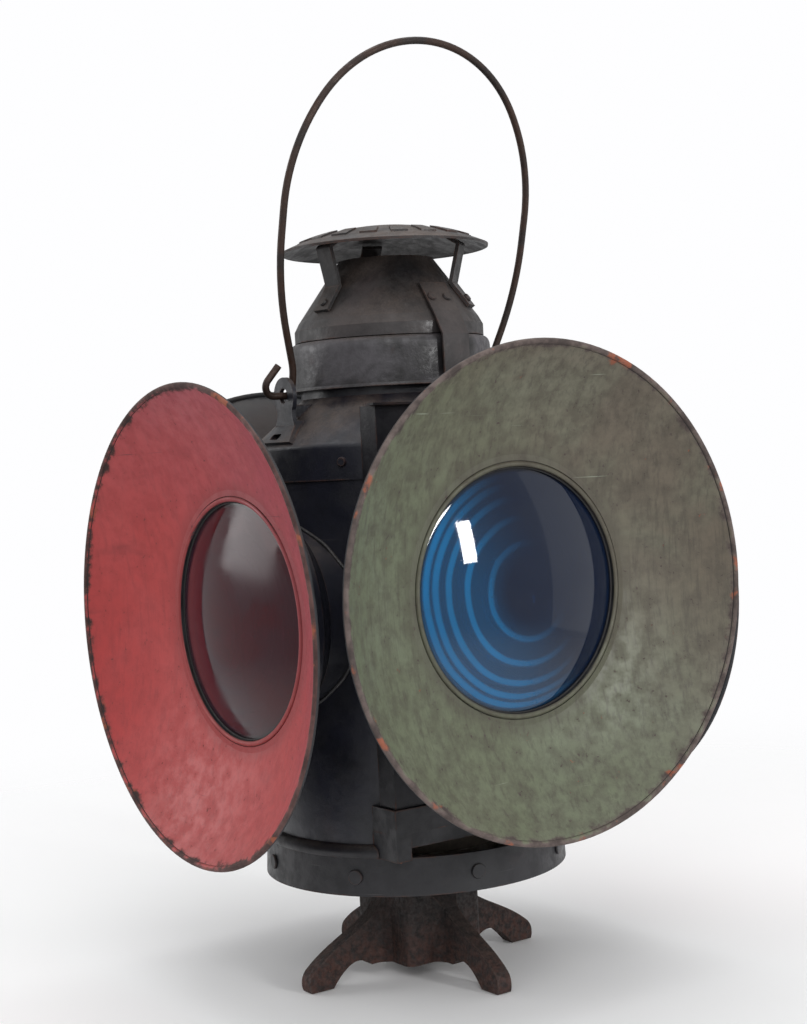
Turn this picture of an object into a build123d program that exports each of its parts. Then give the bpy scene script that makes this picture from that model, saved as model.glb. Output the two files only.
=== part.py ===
from build123d import *
import math
import os

os.makedirs("parts", exist_ok=True)

# A railway switch lamp: an oil lamp in a round sheet-metal body on a cast socket base,
# with four lenses at right angles, each in the middle of a dished day disc.
# +Z is up, the origin is on the lamp's axis at the height of the soles of the feet.
# The sliding door and its lens face -Y, and the lenses beside it face -X and +X.

# ---------------------------------------------------------------- driving sizes (mm)
sheet = 1.0                     # body sheet metal
seam_gap = 0.3                  # between sheet pieces that fit together
slide_gap = 0.6                 # between the door and its guides
running_gap = 0.05              # radial clearance of a turning shaft

# body
body_r = 80.0
plate_z = 62.0                  # underside of the bottom plate
plate_thick = 1.2
body_top = 279.0
skirt_bottom = 60.0
skirt_top = 80.0
skirt_flare = 4.5               # the skirt's bottom edge stands this far out from the body
skirt_stand = 3.4
bead_top = 86.5

# dome and vent
dome_lap = 1.5                  # the dome's band reaches this far down over the body
dome_crease_z = 296.0
neck_r = 51.0
neck_z = 320.0
neck_top = 331.0
guard_r = 56.2
guard_bottom = 326.0
guard_top = 353.0
guard_shoulder = 6.0
cone_r = 52.9
cone_band = 6.5
cone_corner_r = 50.5
cone_corner_rise = 4.5
cone_top_r = 26.5
cone_top = 398.0
cap_r = 58.0
cap_rim_z = 404.5
cap_rise = 12.5
cap_pads = 18

# cap legs
leg_width = 11.5
leg_thick = 2.0
leg_top_r = 45.0
leg_foot = 17.0                 # length of the foot along the cone
leg_turn = 187.4                # angle of the first leg about the axis, from +X
leg_count = 3

# lens stations
lens_z = 205.5
lens_r = 68.2
lens_rise = 11.1                # crown of the outer face above the rim land
lens_land_r = 63.0
lens_rim = 7.2
lens_skin = 5.0                 # thinnest glass between a step and the outer face
lens_step = 4.5                 # depth of each step on the inner face
lens_eye = 8.0                  # extra thickness of the bull's-eye in the middle
lens_rings = (0.36, 0.55, 0.70, 0.80, 0.87, 0.93)
lens_fit = 0.4
hood_r = 51.5
hood_neck = 1.0                 # length of the hood's straight tube outside the body
hood_stand = 25.5               # the hood's mouth stands this far out from the body
hood_mouth_depth = 9.0
hood_seat = 4.0                 # width of the ledge the lens sits on
ring_thick = 1.0
ring_bead = 1.4
disc_r = 127.0
disc_dish = 32.0                # the disc's rim stands this far out from the hood's mouth
disc_sheet = 0.9
disc_wire = 1.6                 # radius of the wire rolled into the rim
disc_sag = 2.8

# door
door_lens_raise = 11.1
door_deep = 14.42               # from the back of the door's side walls to its front face
door_half = 60.0
door_sheet = 1.2
door_top = 315.0
door_bottom = 86.0
door_wall_bottom = 100.2
tongue_inset = 8.0
door_window_r = 49.0
lip_over = 3.0
lip_depth = 4.4
return_depth = 2.5
return_inset = 8.8              # how far behind the door's front the side walls turn in
guide_bottom = 108.0
band_bottom = 94.0
band_height = 13.0
block_inset = 7.5

# catch spring
catch_width = 17.0
catch_offset = 2.0
catch_thick = 1.2
catch_standoff = 0.8
catch_top_z = 381.0
catch_pivot_z = 372.0
catch_ring_gap = 2.6
catch_end_z = 312.0
catch_tooth = 1.7
catch_tooth_high = 2.2

# ears and bail
ear_inset = 8.8                 # the ears' outer faces lie this far inside the body's radius
ear_thick = 2.4
ear_half = 10.0
ear_stem_half = 8.0
ear_foot_half = 20.0
pivot_z = 323.9
ear_hole_r = 4.1
brace_low = 312.0
brace_high = 319.0
brace_thick = 2.5
wire_r = 1.95
bail_lean = 15.0                # degrees the bail stands forward of upright
bail_clear = 9.1                # from the ear's face to the middle of the bail's leg
bail_spring = 100.0             # height above the pivot where the arch starts
bail_high = 192.0
bail_side_r = 105.0
bail_knee = 60.0                # heights where the legs turn in and straighten again
bail_step = 14.0
knee_r = 180.0
step_r = 30.0
hook_reach = 16.8               # the hook's points, outwards from the ear's face
hook_start = 5.0
hook_end = 4.6
hook_high = 16.6
hook_r = 5.5
elbow_r = 4.0

# base casting
hub_half = 25.5
hub_bottom = 8.0
hub_corner = 5.0
flange_lip = 8.0                # from the bolt circle to the flange's edge
flange_thick = 5.0
socket_mouth = 31.0
socket_top = 26.0
socket_depth = 44.0
foot_reach = 77.0
foot_thick = 9.0
foot_tip_high = 11.0
foot_arch = 14.0
foot_fillet = 9.0
bolt_stand = 8.5                # from the hub's face to the bolt circle
bolt_r = 3.0

# oil fount and burner
seat_r = 54.0
seat_high = 12.0
fount_r = 52.0
fount_high = 72.0
collar_r = 17.0
collar_high = 8.0
burner_r = 15.5
burner_high = 18.0
gallery_r = 21.0
wick_half_wide = 6.0
wick_half_thick = 1.4
tube_wall = 0.8
tube_high = 30.0
wick_gap = 0.3
wheel_r = 3.4
wheel_width = 3.0
shaft_r = 1.3
knob_r = 8.0
knob_thick = 3.0
knob_out = 46.0
chimney_r = 16.0
chimney_wall = 1.8
chimney_high = 78.0
filler_at = 34.0
filler_r = 8.0
filler_high = 6.0

rivet_r = 2.6
rivet_high = 1.6


# ---------------------------------------------------------------- helpers
def finish(piece, name):
    """Label a finished sub-part and write its STEP file."""
    piece.part.label = name
    export_step(piece.part, f"parts/{name}.step")


def side_plane(angle, height):
    """Plane with X as the height above a lens axis and Y as the distance out along it."""
    out = Vector(math.cos(math.radians(angle)), math.sin(math.radians(angle)), 0)
    return Plane(origin=(0, 0, height), x_dir=(0, 0, 1), z_dir=Vector(0, 0, 1).cross(out))


def out_axis(angle, height):
    out = Vector(math.cos(math.radians(angle)), math.sin(math.radians(angle)), 0)
    return Axis((0, 0, height), out)


def radial_plane(angle, distance, height):
    """Plane square to the radius at an angle, facing outwards, X around the lamp, Y up."""
    turn = math.radians(angle)
    out = Vector(math.cos(turn), math.sin(turn), 0)
    around = Vector(-math.sin(turn), math.cos(turn), 0)
    return Plane(origin=out * distance + Vector(0, 0, height), x_dir=around, z_dir=out)


def rivet_set(name, planes, radius=rivet_r, high=rivet_high):
    """One node of low domed heads, one on each plane."""
    with BuildPart() as heads:
        for plane in planes:
            with BuildSketch(plane):
                Circle(radius)
            extrude(amount=high * 0.45)
            with BuildSketch(plane.offset(high * 0.45)):
                Circle(radius)
            extrude(amount=high * 0.55, taper=30)
    finish(heads, name)


def dome_radius(z):
    """Radius of the dome's sloping shoulder at a height."""
    slope = (dome_r - neck_r - 4.0) / (neck_z - 2.0 - dome_crease_z)
    return dome_r - (z - dome_crease_z) * slope


def cone_radius(z):
    """Outer radius of the vent cone's straight flank at a height."""
    share = (z - cone_corner_z) / (cone_top - cone_corner_z)
    return cone_corner_r + (cone_top_r - cone_corner_r) * share


# ---------------------------------------------------------------- sizes that follow
skirt_bottom_r = body_r + skirt_flare
skirt_top_r = body_r + skirt_stand
hood_flare_start = body_r + hood_neck
hood_mouth = body_r + hood_stand
disc_rim_out = hood_mouth + disc_dish
ear_face = body_r - ear_inset
bail_half = ear_face + bail_clear
hook_in = ear_face - hook_start
hook_out = ear_face + hook_reach
hook_tip = (ear_face + hook_end, hook_high)
dome_r = body_r + sheet + seam_gap
wall_back = math.sqrt((dome_r + seam_gap) ** 2 - (door_half - door_sheet) ** 2)
door_front = wall_back + door_deep
lip_back = door_front - lip_depth
door_tongue_half = door_half - tongue_inset
block_inner = door_half - block_inset
bolt_circle = hub_half + bolt_stand
flange_r = bolt_circle + flange_lip
floor_z = plate_z + plate_thick
cone_bottom = guard_top + 0.4
cone_corner_z = cone_bottom + cone_band + cone_corner_rise
flank_angle = math.degrees(math.atan2(cone_corner_r - cone_top_r, cone_top - cone_corner_z))
door_lens_z = lens_z + door_lens_raise
ring_top = hood_mouth + ring_thick
front_flat = door_front - door_sheet - slide_gap
header_low = door_lens_z + hood_r + 2.0
lens_seat = hood_mouth - lens_fit - lens_rim

# ---------------------------------------------------------------- base casting
flange_z = plate_z - flange_thick
arm_root = hub_half - 1.0
arm_half = foot_thick / 2
with BuildPart() as arm:
    with BuildSketch(Plane.XZ):
        with BuildLine():
            Polyline((arm_root, hub_bottom), (arm_root, foot_tip_high + 35),
                     (hub_half + 1, foot_tip_high + 33))
            Bezier((hub_half + 1, foot_tip_high + 33), (hub_half + 9, foot_tip_high + 18),
                   (foot_reach - 20, foot_tip_high + 15), (foot_reach - 3, foot_tip_high))
            Bezier((foot_reach - 3, foot_tip_high), (foot_reach + 1, foot_tip_high - 4),
                   (foot_reach, 2), (foot_reach - 1, 0))
            Line((foot_reach - 1, 0), (foot_reach - 15, 0))
            Bezier((foot_reach - 15, 0), (foot_reach - 26, foot_arch),
                   (hub_half + 18, foot_arch), (hub_half + 11, hub_bottom))
            Line((hub_half + 11, hub_bottom), (arm_root, hub_bottom))
        make_face()
    extrude(amount=hub_half, both=True)
    with BuildSketch():
        with BuildLine():
            for side in (1, -1):
                root_corner = (arm_root, side * (arm_half + foot_fillet))
                root_mid = (arm_root + foot_fillet * (1 - math.sqrt(0.5)),
                            side * (arm_half + foot_fillet * (1 - math.sqrt(0.5))))
                ThreePointArc(root_corner, root_mid, (arm_root + foot_fillet, side * arm_half))
                Line((arm_root + foot_fillet, side * arm_half),
                     (foot_reach + 1, side * arm_half))
            Line((foot_reach + 1, arm_half), (foot_reach + 1, -arm_half))
            Line((arm_root, arm_half + foot_fillet), (arm_root, -arm_half - foot_fillet))
        make_face()
    extrude(amount=plate_z, mode=Mode.INTERSECT)

with BuildPart() as base_casting:
    with BuildSketch(Plane.XY.offset(hub_bottom)):
        RectangleRounded(2 * hub_half, 2 * hub_half, hub_corner)
    extrude(amount=plate_z - hub_bottom)
    for quarter in range(4):
        add(arm.part.rotate(Axis.Z, 90 * quarter))
    with BuildSketch(Plane.XY.offset(flange_z)):
        Circle(flange_r)
    extrude(amount=flange_thick)
    with BuildSketch(Plane.XY.offset(hub_bottom)):
        Rectangle(socket_mouth, socket_mouth)
    with BuildSketch(Plane.XY.offset(hub_bottom + socket_depth)):
        Rectangle(socket_top, socket_top)
    loft(mode=Mode.SUBTRACT)
    with BuildSketch(Plane.XY.offset(flange_z)):
        with PolarLocations(bolt_circle, 4, start_angle=0):
            Circle(bolt_r + seam_gap)
    extrude(amount=flange_thick, mode=Mode.SUBTRACT)
finish(base_casting, "base_casting")

# bolts from inside the body down through the flange, with their nuts under it
bolt_head = 2.6
nut_high = 4.0
with BuildPart() as base_bolts:
    with BuildSketch(Plane.XY.offset(flange_z - nut_high - 1.5)):
        with PolarLocations(bolt_circle, 4, start_angle=0):
            Circle(bolt_r)
    extrude(amount=floor_z - flange_z + nut_high + 1.5)
    with BuildSketch(Plane.XY.offset(floor_z)):
        with PolarLocations(bolt_circle, 4, start_angle=0):
            Circle(bolt_r * 1.9)
    extrude(amount=bolt_head, taper=15)
finish(base_bolts, "base_bolts")

with BuildPart() as base_nuts:
    with BuildSketch(Plane.XY.offset(flange_z - nut_high)):
        with PolarLocations(bolt_circle, 4, start_angle=0):
            RegularPolygon(bolt_r * 1.9, 6)
            Circle(bolt_r + 0.1, mode=Mode.SUBTRACT)
    extrude(amount=nut_high)
finish(base_nuts, "base_nuts")

# ---------------------------------------------------------------- body
plate_r = skirt_bottom_r - sheet - seam_gap - 0.3
with BuildPart() as bottom_plate:
    with BuildSketch(Plane.XY.offset(plate_z)):
        Circle(plate_r)
        with PolarLocations(bolt_circle, 4, start_angle=0):
            Circle(bolt_r + seam_gap, mode=Mode.SUBTRACT)
    extrude(amount=plate_thick)
finish(bottom_plate, "bottom_plate")

with BuildPart() as skirt_band:
    with BuildSketch(Plane.XZ):
        with BuildLine():
            Polyline((skirt_bottom_r - sheet, skirt_bottom), (skirt_bottom_r, skirt_bottom),
                     (skirt_top_r, skirt_top))
            Bezier((skirt_top_r, skirt_top), (skirt_top_r + 1.6, skirt_top + 2.6),
                   (body_r + 3.0, bead_top), (body_r + seam_gap, bead_top))
            Polyline((body_r + seam_gap, bead_top), (body_r + seam_gap, bead_top - sheet))
            Bezier((body_r + seam_gap, bead_top - sheet), (body_r + 2.0, bead_top - sheet),
                   (skirt_top_r + 0.6, skirt_top + 2.6), (skirt_top_r - sheet, skirt_top))
            Polyline((skirt_top_r - sheet, skirt_top), (skirt_bottom_r - sheet, skirt_bottom))
        make_face()
    revolve(axis=Axis.Z)
    with BuildSketch(Plane.XY.offset(skirt_top)):
        with Locations((0, -body_r)):
            Rectangle(2 * (door_half + door_sheet + 1.0), 70)
    extrude(amount=bead_top, mode=Mode.SUBTRACT)
finish(skirt_band, "skirt_band")

skirt_tilt_r = (skirt_bottom_r + skirt_top_r) / 2
rivet_set("skirt_rivets", [radial_plane(angle, skirt_tilt_r + 0.3, 70)
                           for angle in range(-147, 213, 45)], radius=4.0, high=0.9)

with BuildPart() as body_shell:
    with BuildSketch(Plane.XY.offset(floor_z)):
        Circle(body_r)
        Circle(body_r - sheet, mode=Mode.SUBTRACT)
    extrude(amount=body_top - floor_z)
    for angle in (0, 90, 180):
        with BuildSketch(radial_plane(angle, 0, lens_z)):
            Circle(hood_r + 0.1)
        extrude(amount=2 * body_r, mode=Mode.SUBTRACT)
    with BuildSketch(Plane.XZ.offset(body_r - 25)):
        with Locations((0, (skirt_top + header_low) / 2)):
            Rectangle(2 * (door_window_r + 1), header_low - skirt_top)
    extrude(amount=40, mode=Mode.SUBTRACT)
    with BuildSketch(Plane.XZ.offset(front_flat)):
        with Locations((0, (skirt_top + body_top) / 2)):
            Rectangle(4 * body_r, body_top - skirt_top + 1)
    extrude(amount=40, mode=Mode.SUBTRACT)
finish(body_shell, "body_shell")

# ---------------------------------------------------------------- dome, guard, cone and cap
with BuildPart() as dome_shell:
    with BuildSketch(Plane.XZ):
        with BuildLine():
            Polyline(
                (dome_r - sheet, body_top - dome_lap), (dome_r, body_top - dome_lap),
                (dome_r, dome_crease_z), (neck_r + 4.0, neck_z - 2.0), (neck_r, neck_z + 2.0),
                (neck_r, neck_top), (neck_r - sheet, neck_top),
                (neck_r - sheet, neck_z + 1.6), (neck_r + 3.2, neck_z - 2.6),
                (dome_r - sheet, dome_crease_z - 0.5), (dome_r - sheet, body_top - dome_lap),
            )
        make_face()
    revolve(axis=Axis.Z)
    fillet(dome_shell.edges().filter_by(GeomType.CIRCLE).filter_by(
        lambda edge: abs(edge.center().Z - dome_crease_z) < 0.1), 3.0)
    with BuildSketch(Plane.XZ.offset(front_flat)):
        with Locations((0, neck_top)):
            Rectangle(4 * body_r, 4 * body_r)
    extrude(amount=40, mode=Mode.SUBTRACT)
finish(dome_shell, "dome_shell")

# the space inside the dome, used to trim what stands on it
with BuildPart() as dome_fill:
    with BuildSketch(Plane.XZ):
        with BuildLine():
            Polyline((0, body_top - 40), (dome_r, body_top - 40), (dome_r, dome_crease_z),
                     (neck_r + 4.0, neck_z - 2.0), (neck_r, neck_z + 2.0),
                     (neck_r, neck_top), (0, neck_top), (0, body_top - 40))
        make_face()
    revolve(axis=Axis.Z)

# a flat plate closes the front of the dome behind the door
with BuildPart() as front_header:
    with BuildSketch(Plane.XZ.offset(front_flat - sheet)):
        with Locations((0, (header_low + neck_z) / 2)):
            Rectangle(2 * body_r, neck_z - header_low)
    extrude(amount=sheet)
    with BuildSketch(Plane.XY.offset(header_low)):
        Circle(body_r - sheet)
    extrude(amount=neck_z - header_low, mode=Mode.INTERSECT)
    add(dome_fill.part, mode=Mode.INTERSECT)
    add(dome_shell.part, mode=Mode.SUBTRACT)
finish(front_header, "front_header")

dome_rivet_z = 287.0
dome_rivet_angles = (-144.6, -35.4, 35.4, 144.6)
rivet_set("dome_rivets", [radial_plane(angle, dome_r, dome_rivet_z)
                          for angle in dome_rivet_angles])

with BuildPart() as guard_spacers:
    with BuildSketch(Plane.XY.offset(guard_bottom + 1.0)):
        with PolarLocations((neck_r + guard_r - sheet) / 2, 6, start_angle=30):
            Rectangle(guard_r - sheet - neck_r, 6)
    extrude(amount=3.0)
    with BuildSketch(Plane.XY.offset(guard_bottom)):
        Circle(guard_r - sheet)
        Circle(neck_r, mode=Mode.SUBTRACT)
    extrude(amount=6.0, mode=Mode.INTERSECT)
finish(guard_spacers, "guard_spacers")

with BuildPart() as wind_guard:
    with BuildSketch(Plane.XZ):
        with BuildLine():
            Polyline((guard_r - sheet, guard_bottom + 0.6), (guard_r - 0.2, guard_bottom),
                     (guard_r + 0.6, guard_bottom + 0.4), (guard_r, guard_bottom + 2.0),
                     (guard_r, guard_top - guard_shoulder))
            Bezier((guard_r, guard_top - guard_shoulder), (guard_r, guard_top - 2.5),
                   (cone_r + 2.2, guard_top - 0.3), (cone_r - 0.4, guard_top))
            Polyline((cone_r - 0.4, guard_top), (cone_r - 8, guard_top),
                     (cone_r - 8, guard_top - sheet), (cone_r - 1.0, guard_top - sheet))
            Bezier((cone_r - 1.0, guard_top - sheet), (cone_r + 1.0, guard_top - 1.4),
                   (guard_r - sheet, guard_top - 3.4),
                   (guard_r - sheet, guard_top - guard_shoulder - 0.2))
            Polyline((guard_r - sheet, guard_top - guard_shoulder - 0.2),
                     (guard_r - sheet, guard_bottom + 0.6))
        make_face()
    revolve(axis=Axis.Z)
finish(wind_guard, "wind_guard")

baffle_r = neck_r - sheet - seam_gap
draught_tube_r = 24.0
baffle_slots = 6
with BuildPart() as draught_baffle:
    with BuildSketch(Plane.XZ):
        with BuildLine():
            Polyline(
                (draught_tube_r, 300), (draught_tube_r, neck_top), (neck_r, neck_top),
                (neck_r, neck_top + sheet), (draught_tube_r, neck_top + sheet),
                (draught_tube_r, 362), (draught_tube_r - sheet, 362),
                (draught_tube_r - sheet, 300), (draught_tube_r, 300),
            )
        make_face()
    revolve(axis=Axis.Z)
    with BuildSketch(Plane.XY.offset(neck_top)):
        with PolarLocations((baffle_r + draught_tube_r) / 2, baffle_slots):
            SlotOverall(20, 9, rotation=90)
    extrude(amount=2 * sheet, mode=Mode.SUBTRACT)
finish(draught_baffle, "draught_baffle")

catch_rivet_x = (catch_offset - 5.0, catch_offset + 5.0)
flank_out = Vector(0, -math.cos(math.radians(flank_angle)), math.sin(math.radians(flank_angle)))
catch_foot = Vector(0, -cone_radius(catch_pivot_z), catch_pivot_z)
with BuildPart() as vent_cone:
    with BuildSketch(Plane.XZ):
        with BuildLine():
            Polyline(
                (cone_r - sheet, cone_bottom), (cone_r, cone_bottom),
                (cone_r, cone_bottom + cone_band), (cone_corner_r, cone_corner_z),
                (cone_top_r, cone_top), (cone_top_r - sheet, cone_top),
                (cone_corner_r - 1.2, cone_corner_z - 0.3),
                (cone_r - sheet, cone_bottom + cone_band - 0.3), (cone_r - sheet, cone_bottom),
            )
        make_face()
    revolve(axis=Axis.Z)
    for x in catch_rivet_x:
        with BuildSketch(Plane(catch_foot + Vector(x, 0, 0), x_dir=(1, 0, 0), z_dir=flank_out)):
            Circle(1.5 + 0.15)
        extrude(amount=5, both=True, mode=Mode.SUBTRACT)
finish(vent_cone, "vent_cone")

# the cap is one shallow pressed dome with plain raised pads round its top
cap_ball = (cap_r ** 2 + cap_rise ** 2) / (2 * cap_rise)
cap_centre = cap_rim_z + cap_rise - cap_ball
with BuildPart() as smoke_cap:
    with BuildSketch(Plane.XZ):
        with BuildLine():
            top_mid = (cap_r * 0.55, cap_centre + math.sqrt(cap_ball ** 2 - (cap_r * 0.55) ** 2))
            under = cap_ball - 1.2
            under_mid = (cap_r * 0.55, cap_centre + math.sqrt(under ** 2 - (cap_r * 0.55) ** 2))
            ThreePointArc((0, cap_rim_z + cap_rise), top_mid, (cap_r, cap_rim_z))
            under_rim = (cap_r - 1.6, cap_centre + math.sqrt(under ** 2 - (cap_r - 1.6) ** 2))
            Polyline((cap_r, cap_rim_z), (cap_r - 0.2, cap_rim_z - 1.3), under_rim)
            ThreePointArc(under_rim, under_mid, (0, cap_rim_z + cap_rise - 1.2))
            Line((0, cap_rim_z + cap_rise - 1.2), (0, cap_rim_z + cap_rise))
        make_face()
    revolve(axis=Axis.Z)
    with BuildSketch(Plane.XZ):
        with BuildLine():
            Polyline((cap_r * 0.62, cap_rim_z), (cap_r * 0.84, cap_rim_z),
                     (cap_r * 0.84, cap_rim_z + 5.0), (cap_r * 0.62, cap_rim_z + 9.3),
                     (cap_r * 0.62, cap_rim_z))
        make_face()
    pad = revolve(axis=Axis.Z, revolution_arc=11, mode=Mode.PRIVATE)
    inside = Pos(0, 0, cap_centre) * Sphere(cap_ball + 0.9, mode=Mode.PRIVATE)
    outside = Pos(0, 0, cap_centre) * Sphere(cap_ball - 0.4, mode=Mode.PRIVATE)
    pad_top = (pad & inside) - outside
    for index in range(cap_pads):
        add(pad_top.rotate(Axis.Z, index * 360 / cap_pads))
finish(smoke_cap, "smoke_cap")

# three strip legs, each with its foot on the cone's flank and its head under the cap
leg_along = Vector(math.sin(math.radians(flank_angle)), -math.cos(math.radians(flank_angle)))
leg_normal = Vector(math.cos(math.radians(flank_angle)), math.sin(math.radians(flank_angle)))
foot_end = Vector(cone_radius(368.5), 368.5)
knee = foot_end - leg_along * leg_foot
head_z = cap_centre + math.sqrt(under ** 2 - (leg_top_r + 1) ** 2) - 0.2
for index, letter in enumerate("abc"):
    turn = leg_turn + index * 360 / leg_count
    with BuildPart() as cap_leg:
        with BuildSketch(Plane.XZ.rotated((0, 0, turn))):
            with BuildLine():
                Polyline((foot_end.X, foot_end.Y), (knee.X, knee.Y),
                         (leg_top_r - leg_thick, head_z - 4.5),
                         (leg_top_r - leg_thick - 9, head_z + 1.2))
                offset(amount=leg_thick, side=Side.RIGHT)
            make_face()
        extrude(amount=leg_width / 2, both=True)
        add(Pos(0, 0, cap_centre) * Sphere(under, mode=Mode.PRIVATE), mode=Mode.INTERSECT)
        add(vent_cone.part, mode=Mode.SUBTRACT)
    finish(cap_leg, f"cap_leg_{letter}")

leg_rivet_at = foot_end - leg_along * 5.0 + leg_normal * leg_thick
leg_rivet_planes = []
for index in range(leg_count):
    turn = math.radians(leg_turn + index * 360 / leg_count)
    out = Vector(math.cos(turn), math.sin(turn), 0)
    up = Vector(0, 0, 1)
    place = out * leg_rivet_at.X + up * leg_rivet_at.Y
    facing = out * leg_normal.X + up * leg_normal.Y
    around = Vector(-math.sin(turn), math.cos(turn), 0)
    leg_rivet_planes.append(Plane(place, x_dir=around, z_dir=facing))
rivet_set("leg_rivets", leg_rivet_planes, radius=2.4, high=1.4)

# ---------------------------------------------------------------- lens stations
eye = lens_r * lens_rings[0]
lens_ball = (lens_land_r ** 2 + lens_rise ** 2) / (2 * lens_rise)
land_out = lens_seat + lens_rim
crown_out = land_out + lens_rise


def crown(radius):
    """Distance out along the axis of the lens's outer face at a radius."""
    return crown_out - lens_ball + math.sqrt(lens_ball ** 2 - radius ** 2)


def lens_station(side, angle, height, hood_start):
    """The hood, lens, retaining ring and day disc of one side of the lamp."""
    section = side_plane(angle, height)
    axis = out_axis(angle, height)

    with BuildPart() as hood:
        with BuildSketch(section):
            with BuildLine():
                mouth_r = lens_r + lens_fit + sheet
                mouth_start = hood_mouth - hood_mouth_depth
                Polyline(
                    (hood_r - sheet, hood_start), (hood_r, hood_start),
                    (hood_r, hood_flare_start), (mouth_r, mouth_start), (mouth_r, hood_mouth),
                    (mouth_r - sheet, hood_mouth), (mouth_r - sheet, lens_seat - lens_fit),
                    (mouth_r - sheet - hood_seat, lens_seat - lens_fit),
                    (mouth_r - sheet - hood_seat, lens_seat - lens_fit - sheet),
                    (mouth_r - 2.2, lens_seat - lens_fit - sheet - 0.2),
                    (hood_r - sheet, hood_flare_start + 0.5), (hood_r - sheet, hood_start),
                )
            make_face()
        revolve(axis=axis)
    finish(hood, f"{side}_lens_hood")

    with BuildPart() as lens:
        with BuildSketch(section):
            with BuildLine():
                middle = lens_land_r / 2
                ThreePointArc((0, crown_out), (middle, crown(middle)), (lens_land_r, land_out))
                Polyline((lens_land_r, land_out), (lens_r, land_out), (lens_r, lens_seat))
                edges_at = [lens_r * share for share in lens_rings]
                outer = edges_at[-1]
                Line((lens_r, lens_seat), (outer, lens_seat))
                depth_out = crown(min(outer, lens_land_r - 0.1)) - lens_skin
                Line((outer, lens_seat), (outer, depth_out))
                for low, high in zip(reversed(edges_at[:-1]), reversed(edges_at[1:])):
                    start = (high, crown(min(high, lens_land_r - 0.1)) - lens_skin)
                    peak = (low, crown(low) - lens_skin - lens_step)
                    step = (low, crown(low) - lens_skin)
                    Line(start, peak)
                    Line(peak, step)
                eye_edge = (eye, crown(eye) - lens_skin)
                eye_deep = crown_out - lens_skin - lens_eye
                eye_rise = eye_edge[1] - eye_deep
                eye_ball = (eye ** 2 + eye_rise ** 2) / (2 * eye_rise)
                eye_half = (eye / 2, eye_deep + eye_ball - math.sqrt(eye_ball ** 2 - eye ** 2 / 4))
                ThreePointArc(eye_edge, eye_half, (0, eye_deep))
                Line((0, eye_deep), (0, crown_out))
            make_face()
        revolve(axis=axis)
    finish(lens, f"{side}_lens")

    with BuildPart() as ring:
        with BuildSketch(section):
            with Locations(((lens_land_r + 0.6 + lens_r + lens_fit + sheet) / 2,
                            hood_mouth + ring_thick / 2)):
                Rectangle(lens_r + lens_fit + sheet - lens_land_r - 0.6, ring_thick)
            with Locations((lens_land_r + 0.5 + ring_bead, hood_mouth + ring_bead)):
                Circle(ring_bead)
        revolve(axis=axis)
    finish(ring, f"{side}_lens_ring")

    with BuildPart() as disc:
        with BuildSketch(section):
            inner_r = lens_land_r + 0.5 + 2 * ring_bead + 0.3
            flange_r_out = lens_r + lens_fit + sheet + 0.5
            rim = (disc_r - disc_wire, disc_rim_out - disc_wire)
            middle = ((flange_r_out + rim[0]) / 2 + disc_sag * 0.55,
                      (ring_top + rim[1]) / 2 - disc_sag)
            with BuildLine():
                Line((inner_r, ring_top), (flange_r_out, ring_top))
                ThreePointArc((flange_r_out, ring_top), middle, rim)
                Line(rim, (rim[0] - 0.4, rim[1] + disc_sheet))
                ThreePointArc((rim[0] - 0.4, rim[1] + disc_sheet),
                              (middle[0] - 0.45, middle[1] + disc_sheet * 0.9),
                              (flange_r_out - 0.3, ring_top + disc_sheet))
                Polyline((flange_r_out - 0.3, ring_top + disc_sheet),
                         (inner_r, ring_top + disc_sheet), (inner_r, ring_top))
            make_face()
            with Locations(rim):
                Circle(disc_wire)
        revolve(axis=axis)
    finish(disc, f"{side}_day_disc")


lens_station("left", 180, lens_z, body_r - 22)
lens_station("rear", 90, lens_z, body_r - 22)
lens_station("right", 0, lens_z, body_r - 22)
lens_station("door", -90, door_lens_z, door_front)

# ---------------------------------------------------------------- sliding door
panel_back = door_front - door_sheet
wall_inner = door_half - door_sheet
return_y = -(door_front - return_inset)
with BuildPart() as door_pan:
    with BuildSketch(Plane.XZ.offset(panel_back)):
        with Locations((0, (door_top + door_wall_bottom) / 2)):
            Rectangle(2 * door_half, door_top - door_wall_bottom)
        with Locations((0, (door_wall_bottom + door_bottom) / 2)):
            Rectangle(2 * (door_tongue_half - slide_gap), door_wall_bottom - door_bottom)
        with Locations((0, door_lens_z)):
            Circle(door_window_r, mode=Mode.SUBTRACT)
    extrude(amount=door_sheet)
    with BuildSketch(Plane.XY.offset(door_wall_bottom)):
        for side in (-1, 1):
            with Locations((side * (door_half - door_sheet / 2), -(wall_back + door_front) / 2)):
                Rectangle(door_sheet, door_front - wall_back)
            with Locations((side * (wall_inner - return_depth / 2), return_y - door_sheet / 2)):
                Rectangle(return_depth, door_sheet)
    extrude(amount=door_top - door_wall_bottom)
    with BuildSketch(Plane.XY.offset(door_top)):
        with Locations((0, -(lip_back + door_front + lip_over) / 2)):
            Rectangle(2 * (door_half + lip_over), door_front + lip_over - lip_back)
    extrude(amount=door_sheet)
finish(door_pan, "door_pan")

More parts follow.
